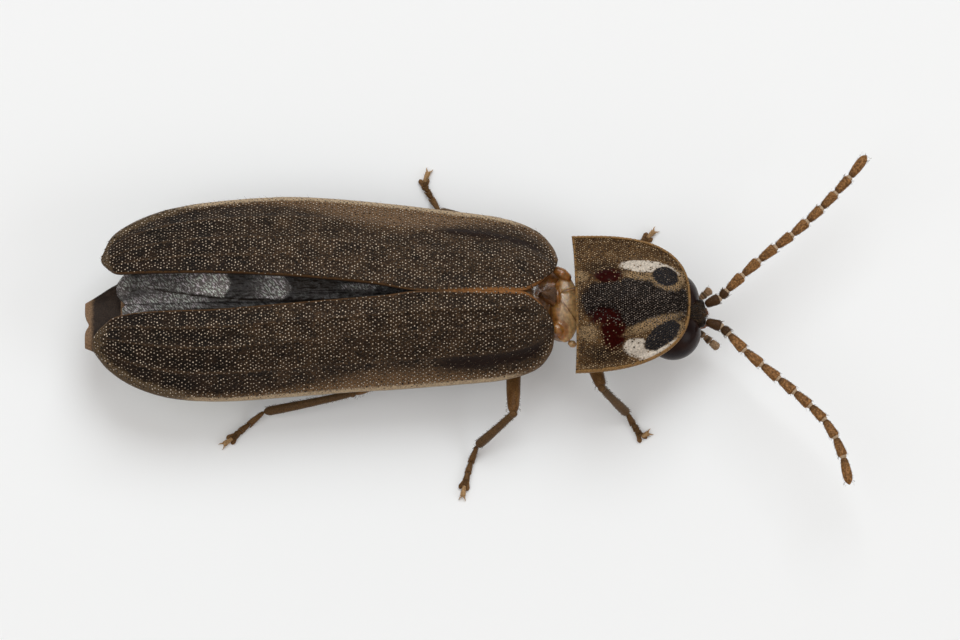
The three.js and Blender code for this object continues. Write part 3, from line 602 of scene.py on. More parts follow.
def fused(form, voxel, smoothing):
    """The shapes of a form melted into one skin of four-sided faces: its points and faces."""
    mesh = bpy.data.meshes.new("melt")
    fill_mesh(mesh, np.concatenate(form.points), form.faces)
    melt = placed("melt", mesh)
    remesh = melt.modifiers.new("remesh", "REMESH")
    remesh.mode = "VOXEL"
    remesh.voxel_size = voxel * MM
    melt.modifiers.new("soften", "SMOOTH").iterations = smoothing
    made = melt.evaluated_get(bpy.context.evaluated_depsgraph_get()).to_mesh()
    points = np.empty(len(made.vertices) * 3)
    made.vertices.foreach_get("co", points)
    corners = np.empty(len(made.loops), int)
    made.loops.foreach_get("vertex_index", corners)
    bpy.data.objects.remove(melt)
    bpy.data.meshes.remove(mesh)
    return points.reshape(-1, 3) / MM - SHIFT, [corners.reshape(-1, 4)]


# Materials.
class Paint:
    """A material in the making: its main shader and the nodes that colour and roughen it."""

    def __init__(self, name, roughness, sockets):
        self.material = bpy.data.materials.new(name)
        self.material.use_nodes = True
        self.tree = self.material.node_tree
        self.skin = self.tree.nodes["Principled BSDF"]
        self.fill(self.skin, {"Roughness": roughness, **sockets})
        self.place = self.node("TexCoord", {})["Object"]

    def fill(self, node, sockets):
        """Link or set each input of a node."""
        for key, value in sockets.items():
            if isinstance(value, bpy.types.NodeSocket):
                self.tree.links.new(value, node.inputs[key])
            else:
                node.inputs[key].default_value = value

    def node(self, kind, sockets, **settings):
        """Outputs of a new node."""
        made = self.tree.nodes.new(f"ShaderNode{kind}")
        for key, value in settings.items():
            setattr(made, key, value)
        self.fill(made, sockets)
        return made.outputs

    def mapped(self, place=None, **sockets):
        return self.node("Mapping", {"Vector": self.place if place is None else place, **sockets})[0]

    def noise(self, size, detail=3.0, stretch=(1, 1, 1), place=None):
        scaled = self.mapped(place, Scale=[s / (size * MM) for s in stretch])
        return self.node("TexNoise", {"Vector": scaled, "Scale": 1.0, "Detail": detail})["Fac"]

    def mixed(self, factor, first, second):
        """Two colours mixed; inputs 6 and 7 and output 2 are the node's colour ones."""
        sockets = {0: factor}
        for key, value in ((6, first), (7, second)):
            sockets[key] = value if isinstance(value, bpy.types.NodeSocket) else (*value, 1.0)
        return self.node("Mix", sockets, data_type="RGBA")[2]

    def ranged(self, value, low, high):
        """0 below low and 1 above high, with a smooth rise between them."""
        sockets = {"From Min": low, "From Max": high, "Value": value}
        return self.node("MapRange", sockets, interpolation_type="SMOOTHSTEP")["Result"]

    def masked(self, name):
        return self.node("Attribute", {}, attribute_name=name)["Fac"]

    def worked(self, operation, *values):
        return self.node("Math", dict(enumerate(values)), operation=operation)[0]

    def finished(self, colour, height, strength, depth):
        """The material, with its colour and a relief of that height joined up."""
        bump = self.node("Bump", {"Strength": strength, "Distance": depth * MM, "Height": height})
        self.fill(self.skin, {"Base Color": colour, "Normal": bump["Normal"]})
        return self.material


def cuticle(name, base, second, layers=(), roughness=0.42, mottle=0.35, grain=0.03, depth=0.012,
            stretch=(1, 1, 1), **sockets):
    """Insect cuticle: two mottled colours, painted layers by mask, and a fine grain."""
    paint = Paint(name, roughness, sockets)
    colour = paint.mixed(paint.ranged(paint.noise(mottle), 0.35, 0.7), base, second)
    edge = paint.noise(0.08, 2.0)
    for key, tone in layers:
        share = paint.worked("MULTIPLY_ADD", edge, 0.5, paint.masked(key))
        colour = paint.mixed(paint.ranged(share, 0.35, 1.05), colour, tone)
    fine = paint.noise(grain, 4.0, stretch)
    darker = paint.mixed(0.55, colour, (0.0, 0.0, 0.0))
    colour = paint.mixed(paint.ranged(fine, 0.25, 0.75), darker, colour)
    return paint.finished(colour, fine, 0.8, depth)


def eye_material():
    """Nearly black, with a faint red cast and small facets."""
    paint = Paint("eye_facets", 0.25, MATT)
    cells = paint.node("TexVoronoi", {"Vector": paint.mapped(Scale=[1 / (0.026 * MM)] * 3), "Scale": 1.0})
    tone = paint.ranged(paint.noise(0.5), 0.3, 0.7)
    colour = paint.mixed(tone, (0.009, 0.004, 0.004), (0.026, 0.013, 0.01))
    return paint.finished(colour, cells["Distance"], 0.35, -0.004)


def wing_material():
    """Folded membrane: dark and crinkled, with fine slanting silver, green and rose glints painted into its
    colour as painted highlights.
    """
    paint = Paint("wing_membrane", 0.35, {"Specular IOR Level": 0.38})
    slanting = paint.mapped(Rotation=(0, 0, math.radians(48)))
    crinkle = paint.noise(0.05, 4.0, (0.6, 1.7, 1), slanting)
    hue = paint.ranged(paint.noise(0.13, 2.0), 0.4, 0.6)
    # Colour of the painted glints: silver with green and rose tints.
    silver = paint.mixed(0.5, paint.mixed(hue, (0.62, 0.76, 0.56), (0.78, 0.6, 0.68)), (0.9, 0.9, 0.9))
    mottle = paint.ranged(paint.noise(0.5), 0.35, 0.65)
    base = paint.mixed(mottle, (0.013, 0.01, 0.009), (0.027, 0.022, 0.02))
    # Where the 'pale' mask lies, the membrane is painted lighter grey as painted sheen, and the crinkle's
    # peaks get painted glints.
    pale = paint.masked("pale")
    painted_sheen = paint.mixed(pale, base, (0.17, 0.145, 0.135))
    painted_glint_share = paint.worked("MULTIPLY", paint.ranged(crinkle, 0.5, 0.6), paint.ranged(pale, -0.12, 0.9))
    colour = paint.mixed(painted_glint_share, painted_sheen, silver)
    # The 'dark' mask: painted shade along the crease, a painted shadow patch, and a darker strip near the
    # front.
    colour = paint.mixed(paint.masked("dark"), colour, (0.015, 0.0085, 0.0045))
    return paint.finished(colour, crinkle, 1.0, 0.025)


def hair_material(name, colour, roughness):
    paint = Paint(name, roughness, MATT)
    shade = paint.ranged(paint.noise(0.06, 2.0), 0.3, 0.7)
    paint.fill(paint.skin, {"Base Color": paint.mixed(shade, [c * 0.7 for c in colour], colour)})
    return paint.material


# Granule skins: dark base colours, with the pale colour laid on by the 'pale' mask as a painted glint on each
# dome's top.
GRANULE, SHIELD_GRANULE, DISC_GRANULE = (
    cuticle(name, base, second, [("pale", pale)], roughness=0.25, depth=0.002, **SATIN)
    for name, base, second, pale in (
        ("granule_painted_glint", (0.018, 0.01, 0.006), (0.034, 0.019, 0.01), (0.82, 0.66, 0.5)),
        ("shield_granule_painted_glint", (0.035, 0.018, 0.008), (0.055, 0.03, 0.013), (0.62, 0.43, 0.24)),
        ("disc_granule_painted_glint", (0.022, 0.016, 0.012), (0.036, 0.027, 0.021), (0.31, 0.245, 0.2)),
    )
)
HAIR = hair_material("golden_hair", (0.13, 0.075, 0.035), 0.4)
LEG_HAIR = hair_material("leg_hair", (0.12, 0.07, 0.03), 0.45)


# Wing cases.
def closed_seam(x):
    """How far the two cases have come together at x: 0 apart, 1 touching."""
    return rise(-0.6, 0.6, x) * fall(3.0, 3.4, x)


def case_place(ribs, u, v):
    inner_x, inner_y, outer_x, outer_y = (along([rib[k] for rib in ribs], u) for k in range(4))
    inner_y = inner_y - SEAM_CLOSING * closed_seam(inner_x)
    bulge = np.sin(math.pi * held(v))
    bow = TIP_BOW * bulge * rise(0.9, 1.0, u) - BASE_BOW * bulge * fall(0.0, 0.08, u)
    return lerp(inner_x, outer_x, v) - bow, lerp(inner_y, outer_y, v)


def case_margins(ribs, u):
    """Y of the inner and the outer margin of a wing case."""
    return case_place(ribs, u, 0.0)[1], case_place(ribs, u, 1.0)[1]


def case_reach(ribs, u, v):
    """Distance of a place on a wing case from its outer margin, its inner margin, its base and its tip."""
    inner, outer = case_margins(ribs, u)
    width = outer - inner
    return (1 - v) * width, v * width, u * 5.0, (1 - u) * 4.0


def case_share_at(ribs, x, v):
    """Share of a case's length at which the line at share v of its width passes x."""
    low, high = np.zeros_like(x), np.ones_like(x)
    for _ in range(24):
        middle = (low + high) / 2
        above = case_place(ribs, middle, v)[0] > x
        low, high = np.where(above, middle, low), np.where(above, high, middle)
    return low


def case_shares(ribs, x, y):
    """Shares (u, v) of the places on a wing case that lie over x and y."""
    v = np.full_like(x, 0.5)
    for _ in range(6):
        u = case_share_at(ribs, x, v)
        inner, outer = case_margins(ribs, u)
        v = np.clip((y - inner) / (outer - inner), -0.2, 1.2)
    return u, v


def case_height(u, v, costae=True):
    margin = along(MARGIN_HEIGHTS, u)
    roof = np.power(held(1 - np.power(v, ROOF_ROUNDNESS)), ROOF_FLARE)
    height = margin + (along(RIDGE_HEIGHTS, u) - margin) * roof
    if costae:
        fade = rise(0.06, 0.2, u) * fall(0.78, 0.95, u)
        for place in COSTA_PLACES:
            height = height + COSTA_HEIGHT * fade * bell(v - place, 0.035)
    return height


def case_surface(ribs, side, u, v):
    x, y = case_place(ribs, u, v)
    z = case_height(u, v)
    out, inner, base, end = case_reach(ribs, u, v)
    nearest = np.minimum.reduce([out, inner + 0.06 * closed_seam(x), base, end])
    z = z - 0.05 * rolled(nearest, 0.08)
    z = z + 0.035 * bell(out - 0.08, 0.05) - 0.03 * bell(out - 0.22, 0.08)
    z = z + 0.02 * bell(inner - 0.07, 0.05)
    shoulder = rise(0.02, 0.08, u) * fall(0.16, 0.3, u)
    z = z - 0.09 * shoulder * bell(v - FURROW_PLACE[side], 0.06)
    z = z + 0.014 * ripple(x, y, 0.9, side)
    return joined(x, y * side, z)


def case_masks(ribs, side, u, v):
    x, y = case_place(ribs, u, v)
    out, inner, _, end = case_reach(ribs, u, v)
    edge = np.minimum(out, end)
    hind = rise(-4.5, -6.2, x)
    line = fall(0.05, 0.17, out) if side > 0 else fall(0.03, 0.1, out)
    pale = line * (1 - hind) * (1 - 0.85 * rise(2.5, 3.4, x)) * (1.0 if side > 0 else 0.8)
    smoky = hind * fall(0.08, 0.32, edge + 0.03 * ripple(x, y, 0.4))
    wide = bell(x + 0.3, 2.3)
    reach = (0.35 + 1.1 * wide) if side > 0 else (0.3 + 0.5 * wide)
    warm = fall(0.0, reach, out) * (0.6 + 0.4 * wide) * (1.0 if side > 0 else 0.85)
    warm = np.maximum(warm, 0.26 * rise(-6.8, -2.5, x) + 0.06 * ripple(x, y, 1.1, 4.0))
    costa = sum(bell(v - place, 0.026) for place in COSTA_PLACES) * 0.34
    reach = 0.1 + 0.06 * rise(1.0, 3.0, x)
    amber = fall(0.0, reach, inner) * rise(0.3, 2.2, x) * 0.85
    seam = fall(0.02, 0.06, inner) * 0.9
    # Shoulder furrow: the sunk shoulder, darker partly as bare smooth cuticle and partly as painted shade in
    # the hollow.
    furrow = rise(0.6, 1.6, x) * fall(3.3, 3.7, x)
    furrow = furrow * bell(v - FURROW_PLACE[side], 0.05 if side > 0 else 0.065)
    return {"pale": pale, "smoky": smoky, "warm": np.maximum(warm, costa), "seam": seam, "amber": amber,
            "furrow": furrow}


def surface_normals(surface, u, v):
    step = 1e-3
    along_u = surface(np.minimum(u + step, 1), v) - surface(np.maximum(u - step, 0), v)
    along_v = surface(u, np.minimum(v + step, 1)) - surface(u, np.maximum(v - step, 0))
    normals = unit(np.cross(along_u, along_v))
    return normals * np.sign(normals[:, 2:3] + 1e-9), unit(along_u)


def scattered(length, width, spacing):
    """Shares (u, v) of staggered rows of granules over a sheet of that length and width."""
    rows = int(length / (spacing * 0.88))
    across = int(width / spacing)
    row, column = np.meshgrid(np.arange(rows), np.arange(across), indexing="ij")
    jitter = draws.uniform(-0.22, 0.22, (2, *row.shape))
    u = (row + 0.5 + jitter[0]) / rows
    v = (column + 0.25 + 0.5 * (row % 2) + jitter[1]) / across
    return u.ravel(), v.ravel()


def wing_case(name, side, material):
    ribs = RIBS[name]

    def surface(a, b):
        return case_surface(ribs, side, a, b)

    v = eased(110) * 0.7 + np.linspace(0, 1, 110) * 0.3
    grid_u, grid_v = np.meshgrid(np.linspace(0, 1, 420), v, indexing="ij")
    top = surface(grid_u, grid_v)
    bottom = top.copy()
    bottom[..., 2] = np.minimum(top[..., 2], case_height(grid_u, grid_v, False)) - CASE_THICKNESS
    sheet_piece(f"elytron_{name}", top, bottom, case_masks(ribs, side, grid_u, grid_v), material, "wing_case")

    length, width = scattered(CASE_LENGTH, CASE_WIDTH, CASE_GRAIN)
    x, y = CASE_FRONT_X - length * CASE_LENGTH, width * CASE_WIDTH
    u, v = case_shares(ribs, x, y)
    out, inner, base, end = case_reach(ribs, u, v)
    on_case = np.abs(case_place(ribs, u, v)[0] - x) < 0.02
    keep = on_case & (out > 0.02) & (inner > 0.03) & (base > 0.04) & (end > 0.03)
    u, v = u[keep], v[keep]
    masks = case_masks(ribs, side, u, v)
    keep = draws.random(len(u)) > 0.5 * masks["furrow"]
    u, v = u[keep], v[keep]
    masks = {key: mask[keep] for key, mask in masks.items()}
    roots = surface(u, v)
    normals, ahead = surface_normals(surface, u, v)
    size = draws.uniform(0.023, 0.032, len(u)) * (1 - 0.3 * most(masks["pale"], masks["furrow"]))
    places = joined(u * 0.96 + 0.02, v * 0.22 + 0.02)
    # Granule glints are painted brighter on the warm parts and dimmer in the shoulder furrow's painted shade.
    tone = draws.normal(0.66, 0.3, len(u)) + 0.2 * masks["warm"] - 0.5 * masks["furrow"]
    granules(f"granules_elytron_{name}", roots, normals, size, size * 0.7, places, np.clip(tone, 0.05, 1.1),
             GRANULE)
    lie = unit(ahead + draws.normal(0, 0.3, roots.shape) * [1, 1, 0])
    tufts(f"hairs_elytron_{name}", roots + normals * 0.012, lie, normals, draws.uniform(0.06, 0.1, len(u)),
          0.006, places, HAIR, lift=0.25)


# Shield over the head.
def shield_place(s, q):
    open_share = np.power(1 - np.power(np.minimum(s, 0.9995), SHIELD_OUTLINE), 1 / SHIELD_OUTLINE)
    x = s * SHIELD_LENGTH - SHIELD_CORNER * np.abs(q) ** 4 * (1 - s)
    y = q * open_share * SHIELD_HALF_WIDTH
    c, n = math.cos(SHIELD_TURN), math.sin(SHIELD_TURN)
    return SHIELD_REAR_X + c * x - n * y, SHIELD_MIDDLE_Y + n * x + c * y


def shield_rim():
    """Points along the sides and front of the shield, and points along its rear edge."""
    s = np.sin(np.linspace(0, math.pi / 2, 160))
    parts = [(s, -1.0), (np.ones(12), np.linspace(-1, 1, 12)), (s, 1.0)]
    rim = np.concatenate([joined(*shield_place(*part)) for part in parts])
    return rim, joined(*shield_place(np.zeros(60), np.linspace(1, -1, 60)))


def distance_to(line, x, y):
    nearest = np.full(np.shape(x), 9.0)
    for px, py in line:
        nearest = np.minimum(nearest, np.hypot(x - px, y - py))
    return nearest


SHIELD_RIM, SHIELD_REAR = shield_rim()


def shield_surface(s, q):
    x, y = shield_place(s, q)
    margin = along(SHIELD_MARGIN, s)
    z = margin + (along(SHIELD_MIDDLE, s) - margin) * np.power(held(1 - q * q), SHIELD_FLARE)
    rim, rear = distance_to(SHIELD_RIM, x, y), distance_to(SHIELD_REAR, x, y)
    z = z - 0.05 * rolled(np.minimum(rim, rear), 0.05)
    z = z + 0.045 * bell(rim - 0.04, 0.035) - 0.05 * bell(rim - 0.2, 0.09)
    z = z + 0.025 * bell(rear - 0.04, 0.035)
    z = z + 0.02 * bell(y - SHIELD_MIDDLE_Y, 0.12) * rise(0.0, 0.3, s)
    z = z - 0.04 * window_masks(x, y)["red"]
    z = z + 0.008 * ripple(x, y, 0.5, 2.0)
    return joined(x, y, z)


def window_masks(x, y):
    """Markings of the shield: dark disc, red patches, pale windows and the eyes' shadows under them."""
    window, eyes = spots(x, y, "window"), spots(x, y, "eyes")
    masks = {name: spots(x, y, name) * (1 - window) for name in ("disc", "red", "tan")}
    masks["tan"] = masks["tan"] * (1 - eyes)
    return {**masks, "window": window * (1 - eyes), "eye_shadow": eyes}


def shield_masks(x, y):
    masks = window_masks(x, y)
    rim, rear = distance_to(SHIELD_RIM, x, y), distance_to(SHIELD_REAR, x, y)
    masks["gold"] = np.maximum(fall(0.03, 0.085, rim), 0.7 * fall(0.03, 0.09, rear))
    return masks


def shield(material):
    s = np.sin(np.linspace(0, math.pi / 2, 200))
    q = np.sin(np.linspace(-math.pi / 2, math.pi / 2, 231))
    top = shield_surface(*np.meshgrid(s, q, indexing="ij"))
    masks = shield_masks(top[..., 0], top[..., 1])
    sheet_piece("pronotum", top, top - [0, 0, SHIELD_THICKNESS], masks, material, "shield")

    u, v = scattered(SHIELD_LENGTH, 2 * SHIELD_HALF_WIDTH, SHIELD_GRAIN)
    half = np.power(1 - u**SHIELD_OUTLINE, 1 / SHIELD_OUTLINE)
    inside = np.abs(2 * v - 1) < half - 0.03
    u, v, half = u[inside], v[inside], half[inside]
    q = (2 * v - 1) / half
    roots = shield_surface(u, q)
    masks = shield_masks(roots[:, 0], roots[:, 1])
    bare = most(masks["window"] * 0.93, masks["red"] * 0.8, masks["gold"] * 0.8)
    keep = draws.random(len(u)) > bare
    u, q, v, roots = u[keep], q[keep], v[keep], roots[keep]
    normals, ahead = surface_normals(lambda a, b: shield_surface(a, 2 * b - 1), u, (q + 1) / 2)
    masks = {key: mask[keep] for key, mask in masks.items()}
    size = draws.uniform(0.02, 0.029, len(u))
    places = joined(u * 0.45 + 0.02, v * 0.5 + 0.02)
    tone = held(draws.normal(0.64, 0.36, len(u)) - 0.15 * masks["disc"] - 0.35 * masks["eye_shadow"])
    on_disc = masks["disc"] + masks["eye_shadow"] > 0.65
    for place, skin, chosen in (("disc", DISC_GRANULE, on_disc), ("sides", SHIELD_GRANULE, ~on_disc)):
        granules(f"granules_pronotum_{place}", roots[chosen], normals[chosen], size[chosen],
                 size[chosen] * 0.6, places[chosen], tone[chosen], skin)
    tufts("hairs_pronotum", roots + normals * 0.01, -ahead, normals, draws.uniform(0.04, 0.07, len(u)), 0.006,
          places, HAIR, lift=0.25)


# Folded wings.
def folded_wing(name, side, material):
    ribs = RIBS[name]
    t, v = np.meshgrid(np.linspace(0, 1, 420), np.linspace(0, 1, 100), indexing="ij")
    x = lerp(WING_FRONT_X, WING_TIP_X[name] + WING_TIP_BEND * (1 - v) ** 2, t)
    u = case_share_at(ribs, x, 0.0)
    inner_y, outer_y = case_margins(ribs, u)
    narrowing = np.power(held(1 - t**5), 0.4)
    start = -0.12 if side > 0 else 0.08
    y = lerp(start, np.maximum(start + 0.12, lerp(0.25, outer_y * 0.66, narrowing)), v)
    q = held((y - inner_y) / (outer_y - inner_y))
    z = case_height(u, q, False) - WING_DROP[name]
    slant = x + y * side
    wrinkle = 0.02 * ripple(slant * 0.5, y - x * 0.25, 0.2, side) + 0.008 * ripple(slant, y - x, 0.08, 4.0)
    fold_y = np.interp(x, FOLD_X, FOLD_Y)
    line_y = fold_y if side > 0 else 0.3
    z = z + wrinkle + 0.06 * rise(-0.02, 0.04, y - line_y)
    for place in WING_VEINS:
        z = z + 0.03 * bell(v - place, 0.02) * fall(0.9, 1, t)
    top = joined(x, y * side, z)
    # Painted shade along the crease of the fold.
    crease = bell(y - line_y + 0.01, 0.018) * rise(-6.5, -5.9, x)
    masks = wing_masks(x, y * side, fold_y, crease)
    sheet_piece(f"hindwing_{name}", top, top - [0, 0, WING_THICKNESS], masks, material, "wing_membrane")


def wing_masks(x, y, fold_y, crease):
    """Where the folded wings get painted glints and painted sheen ('pale'), and where they are darkened
    ('dark'): painted shade along the crease, a painted shadow patch and a darker strip near the front.
    """
    # first_lens and second_lens: the bright patches of painted sheen on the upper wing.
    first_lens = (0.25 + 0.75 * rise(-5.6, -4.6, x)) * rise(-6.6, -5.8, x)
    first_lens = first_lens * fall(-4.27, -4.17, x + 0.5 * np.abs(y - 0.35))
    second_lens = rise(-3.9, -3.0, x) * fall(-2.75, -2.62, x + 0.8 * np.abs(y - 0.22))
    above = rise(0, 0.05, y - fold_y)
    strip = rise(-2.95, -2.5, x) * rise(0.1, 0.22, y) * fall(-1.7, -1.4, x)
    return {"pale": most(first_lens * above, 0.55 * second_lens * above, spots(x, y, "painted_glints")),
            "dark": most(crease, 0.9 * strip, spots(x, y, "wing_shadow"))}


# Middle body and abdomen.
def under_grooves(x, y, z):
    """Sutures on the under side of the thorax: one along the middle and one to each side."""
    depth = 0.05 * bell(y, 0.03) + 0.04 * bell(np.abs(y) - 0.75, 0.03)
    return z + rise(1.6, 1.2, z) * depth + 0.008 * ripple(x, y, 0.3, 5.0)


def body_form(form, stations, **masks):
    """A body part through its stations, closed at both ends."""
    stations = np.asarray(stations, float)
    t = eased(60)
    closing = np.power(held(1 - np.abs(2 * t - 1) ** 7), 1 / 7)
    middle, half, low, high = (along(stations[:, k], t) for k in (1, 2, 3, 4))
    c, n, reach = squared_ring(96, 2.4, 2.4)
    y = middle[:, None] + (half * closing)[:, None] * (c * reach)[None]
    z = ((low + high) / 2)[:, None] + ((high - low) / 2 * closing)[:, None] * (n * reach)[None]
    x = np.broadcast_to(lerp(stations[0, 0], stations[-1, 0], t)[:, None], y.shape)
    points = joined(x, y, under_grooves(x, y, z))
    form.add(*tube(points[1:-1], points[0].mean(axis=0), points[-1].mean(axis=0)), **masks)


def middle_body(brown, amber):
    for name, stations in (("prothorax", PROTHORAX), ("metathorax", METATHORAX)):
        form = Form()
        body_form(form, stations, dark=0.3)
        form.piece(name, brown, "thorax")
    form = Form()
    body_form(form, MESOTHORAX)
    for start, end, radii in SOFT_FOLDS:
        form.add(*limb(start, end, list(zip((0, 0.5, 1), radii))))
    form.add(*globe((4.12, -0.3, 2.34), (0.36, 0.84, 0.16)))
    points, groups = fused(form, 0.02, 4)
    x, y, z = points.T
    membrane = rise(3.9, 4.05, x) * (1 - spots(x, y, "plates")) * rise(1.9, 2.1, z)
    upper = bell(y - 0.14 - (x - 4.1) * 0.36, 0.025)
    lower = bell(y + 0.1 + (x - 4.04) * 1.4, 0.03)
    lines = np.maximum(upper, lower) * rise(4.0, 4.08, x) * rise(2.2, 2.3, z)
    whole = Form()
    whole.add(points, groups, membrane=membrane, lines=lines * 0.8, below=rise(1.9, 1.5, z))
    whole.piece("mesothorax", amber, "amber_cuticle")


def scutellum(material):
    """Small rounded triangle between the bases of the wing cases."""
    t, v = np.meshgrid(np.linspace(0, 1, 60), np.linspace(-1, 1, 50), indexing="ij")
    x = lerp(3.44, 3.84, t) + 0.07 * (1 - v * v) * t
    y = 0.27 * np.power(t, 0.75) * v
    z = 2.62 + 0.38 * rise(0, 0.25, t) * np.power(held(1 - v * v), 0.5) * (1 - 0.35 * t**6)
    top = joined(x, y, z + 0.008 * ripple(x, y, 0.12))
    bottom = joined(x, y, np.full_like(x, 2.6))
    edge = np.maximum(np.abs(v) ** 4, fall(0, 0.12, t))
    sheet_piece("scutellum", top, bottom, {"edge": edge}, material, "scutellum")


def abdomen_part(name, first, last, shift, material, slot, tail=False):
    """Rings that each slide over the front of the next one."""
    form = Form()
    c, n, reach = squared_ring(128, 2.6, 2.0)
    t = np.concatenate([[-0.1, -0.1], np.linspace(-0.08, 0.96, 26), [1.0, 1.0, 0.97]])
    size = np.concatenate([[0.0, 0.93], np.full(26, 1.0), [0.995, 0.94, 0.0]])
    size = size - 0.035 * fall(-0.1, 0.35, t) * (size > 0)
    size = size + 0.015 * rise(0.8, 0.97, t) * (size > 0.5)
    for ring in range(first, last):
        here, there = np.array(ABDOMEN_RINGS[ring]), np.array(ABDOMEN_RINGS[ring + 1])
        row = here[None] + (there - here)[None] * t[:, None]
        ring_x, middle, half, low, high = (row[:, k, None] for k in range(5))
        y = middle + half * size[:, None] * (c * reach)[None]
        z = (low + high) / 2 + (high - low) / 2 * size[:, None] * (n * reach)[None]
        x = np.broadcast_to(ring_x - shift, y.shape)
        side_fold = bell(np.abs(c)[None] - 0.8, 0.06) * (np.abs(n)[None] < 0.6)
        z = z + 0.02 * side_fold * np.sign(-n)[None] + 0.006 * ripple(x, y, 0.25, ring)
        rear = rise(0.78, 0.97, t[1:-1])
        if tail and ring == last - 1:
            x = x + 0.1 * bell(y - middle, 0.14) * rise(0.85, 1.0, t)[:, None]
            rear = rise(0.66, 0.95, t[1:-1])
        points = joined(x, y, z)
        form.add(*tube(points[1:-1], points[0].mean(axis=0), points[-1].mean(axis=0)),
                 rear=np.concatenate([np.repeat(rear, len(c)), [0, 1]]))
    form.piece(name, material, slot)


# Head.
def on_head(points):
    c, n = math.cos(HEAD_TURN), math.sin(HEAD_TURN)
    points = np.asarray(points, float)
    x, y = points[..., 0] * c - points[..., 1] * n, points[..., 0] * n + points[..., 1] * c
    return joined(x, y, points[..., 2]) + HEAD_PLACE


def head_capsule(material):
    form = Form()
    shapes = [
        globe((0, 0, 0.02), (0.62, 0.6, 0.52)),
        globe((0.42, 0, 0), (0.42, 0.3, 0.38)),
        limb((0.0, 0, 0.26), (0.74, 0, 0.16), [(0, 0.3), (0.7, 0.26), (1, 0.2)]),
        limb((0.4, 0, -0.3), (0.64, 0, -0.44), [(0, 0.26), (0.7, 0.2), (1, 0.15)], flat=0.75),
        limb((-0.2, 0, 0), (-0.62, 0.02, 0.05), [(0, 0.42), (1, 0.34)]),
    ]
    for side in (1, -1):
        horn_base = [(0, 0.17), (0.8, 0.16), (1, 0.13)]
        shapes.append(limb((0.56, side * 0.17, 0.08), (0.83, side * 0.21, 0.14), horn_base))
        shapes.append(limb((0.4, side * 0.26, -0.4), (0.7, side * 0.34, -0.6), [(0, 0.14), (1, 0.09)]))
    for points, groups in shapes:
        form.add(on_head(points), groups)
    points, groups = fused(form, 0.02, 5)
    whole = Form()
    whole.add(points, groups, mouth=rise(1.42, 1.2, points[:, 2]) * rise(7.3, 7.5, points[:, 0]))
    whole.piece("head", material, "head")

    count = 900
    tilt, turn = np.arccos(draws.uniform(-0.2, 1, count)), draws.uniform(-1.3, 1.3, count)
    rays = joined(np.sin(tilt) * np.cos(turn), np.sin(tilt) * np.sin(turn) * 0.6, np.cos(tilt))
    tree = kd_tree(points)
    roots = points[[tree.find(place)[1] for place in on_head(rays * [0.8, 0.5, 0.55])]]
    normals = unit(roots - on_head([0.1, 0, 0]))
    places = joined(tilt / 3.2 + 0.01, (turn + 1.4) / 3)
    size = draws.uniform(0.014, 0.022, count)
    tone = held(draws.normal(0.1, 0.2, count))
    granules("granules_head", roots, normals, size, size * 0.6, places, tone, GRANULE)
    tufts("hairs_head", roots, unit(normals + [0.8, 0, 0.1]), normals, draws.uniform(0.05, 0.1, count), 0.007,
          places, HAIR)


def kd_tree(points):
    tree = KDTree(len(points))
    for index, place in enumerate(points):
        tree.insert(place, index)
    tree.balance()
    return tree


def eye(name, side, material):
    form = Form()
    points, groups = globe((0, side * EYE_OUT, 0), EYE_RADII, 72, 120)
    form.add(on_head(points), groups)
    form.piece(f"eye_{name}", material, "eye")


def mandible(name, side, material):
    form = Form()
    bend = (0.84, side * 0.22, -0.46)
    for points, groups in (
        limb((0.6, side * 0.24, -0.4), bend, [(0, 0.09), (1, 0.06)], ends=(0.2, 0.05)),
        limb(bend, (0.93, side * 0.07, -0.5), [(0, 0.06), (0.6, 0.035), (1, 0.01)], ends=(0.05, 0.02)),
    ):
        form.add(on_head(points), groups)
    form.piece(f"mandible_{name}", material, "mandible")


def antenna_shape(i):
    """Profile and flatness of joint i of an antenna."""
    if i in ANTENNA_SHAPES:
        return ANTENNA_SHAPES[i]
    wide = lerp(1.0, 0.84, i / LAST_JOINT)
    outer = [(0.65, 0.138 * wide), (0.88, 0.148 * wide), (1, 0.12)]
    return [(0, 0.06), (0.06, 0.082), (0.3, 0.108), *outer], 0.75


def chain_points(start, lengths, headings, slope):
    """Ends of the joints of a chain that climbs at that slope."""
    points = [np.asarray(start, float)]
    for length, heading in zip(lengths, headings):
        turn = math.radians(heading)
        flat = math.cos(slope)
        step = np.array([math.cos(turn) * flat, math.sin(turn) * flat, math.sin(slope)])
        points.append(points[-1] + step * length)
    return points


class Coat:
    """Hair roots gathered from limbs, then made into one piece."""

    def __init__(self):
        self.rows, self.reach = [], 0.0

    def grow(self, start, end, radius, count, length):
        start, end = np.asarray(start, float), np.asarray(end, float)
        axis = unit(end - start)
        across = unit(np.cross(axis, [0.3, 0.2, 1.0]))
        other = np.cross(axis, across)
        t, angle = draws.uniform(0.04, 0.98, count), draws.uniform(0, 2 * math.pi, count)
        normals = across * np.cos(angle)[:, None] + other * np.sin(angle)[:, None]
        roots = lerp(start, end, t[:, None]) + normals * np.interp(t, [0, 1], radius)[:, None]
        size = np.linalg.norm(end - start)
        places = joined(self.reach + t * size * 0.1, 0.05 + angle / 7)
        self.reach += size * 0.1
        keep = roots[:, 2] > 0.05
        sizes = draws.uniform(0.7, 1.2, count) * length
        ahead = np.broadcast_to(axis, roots.shape)
        self.rows.append([values[keep] for values in (roots, ahead, normals, sizes, places)])

    def piece(self, name, slot, width=0.008):
        roots, ahead, normals, sizes, places = (np.concatenate(rows) for rows in zip(*self.rows))
        places[:, 0] = places[:, 0] / max(self.reach, 1e-6) * 0.95 + 0.02
        tufts(name, roots, ahead, normals, sizes, width, places, LEG_HAIR, lift=0.45)


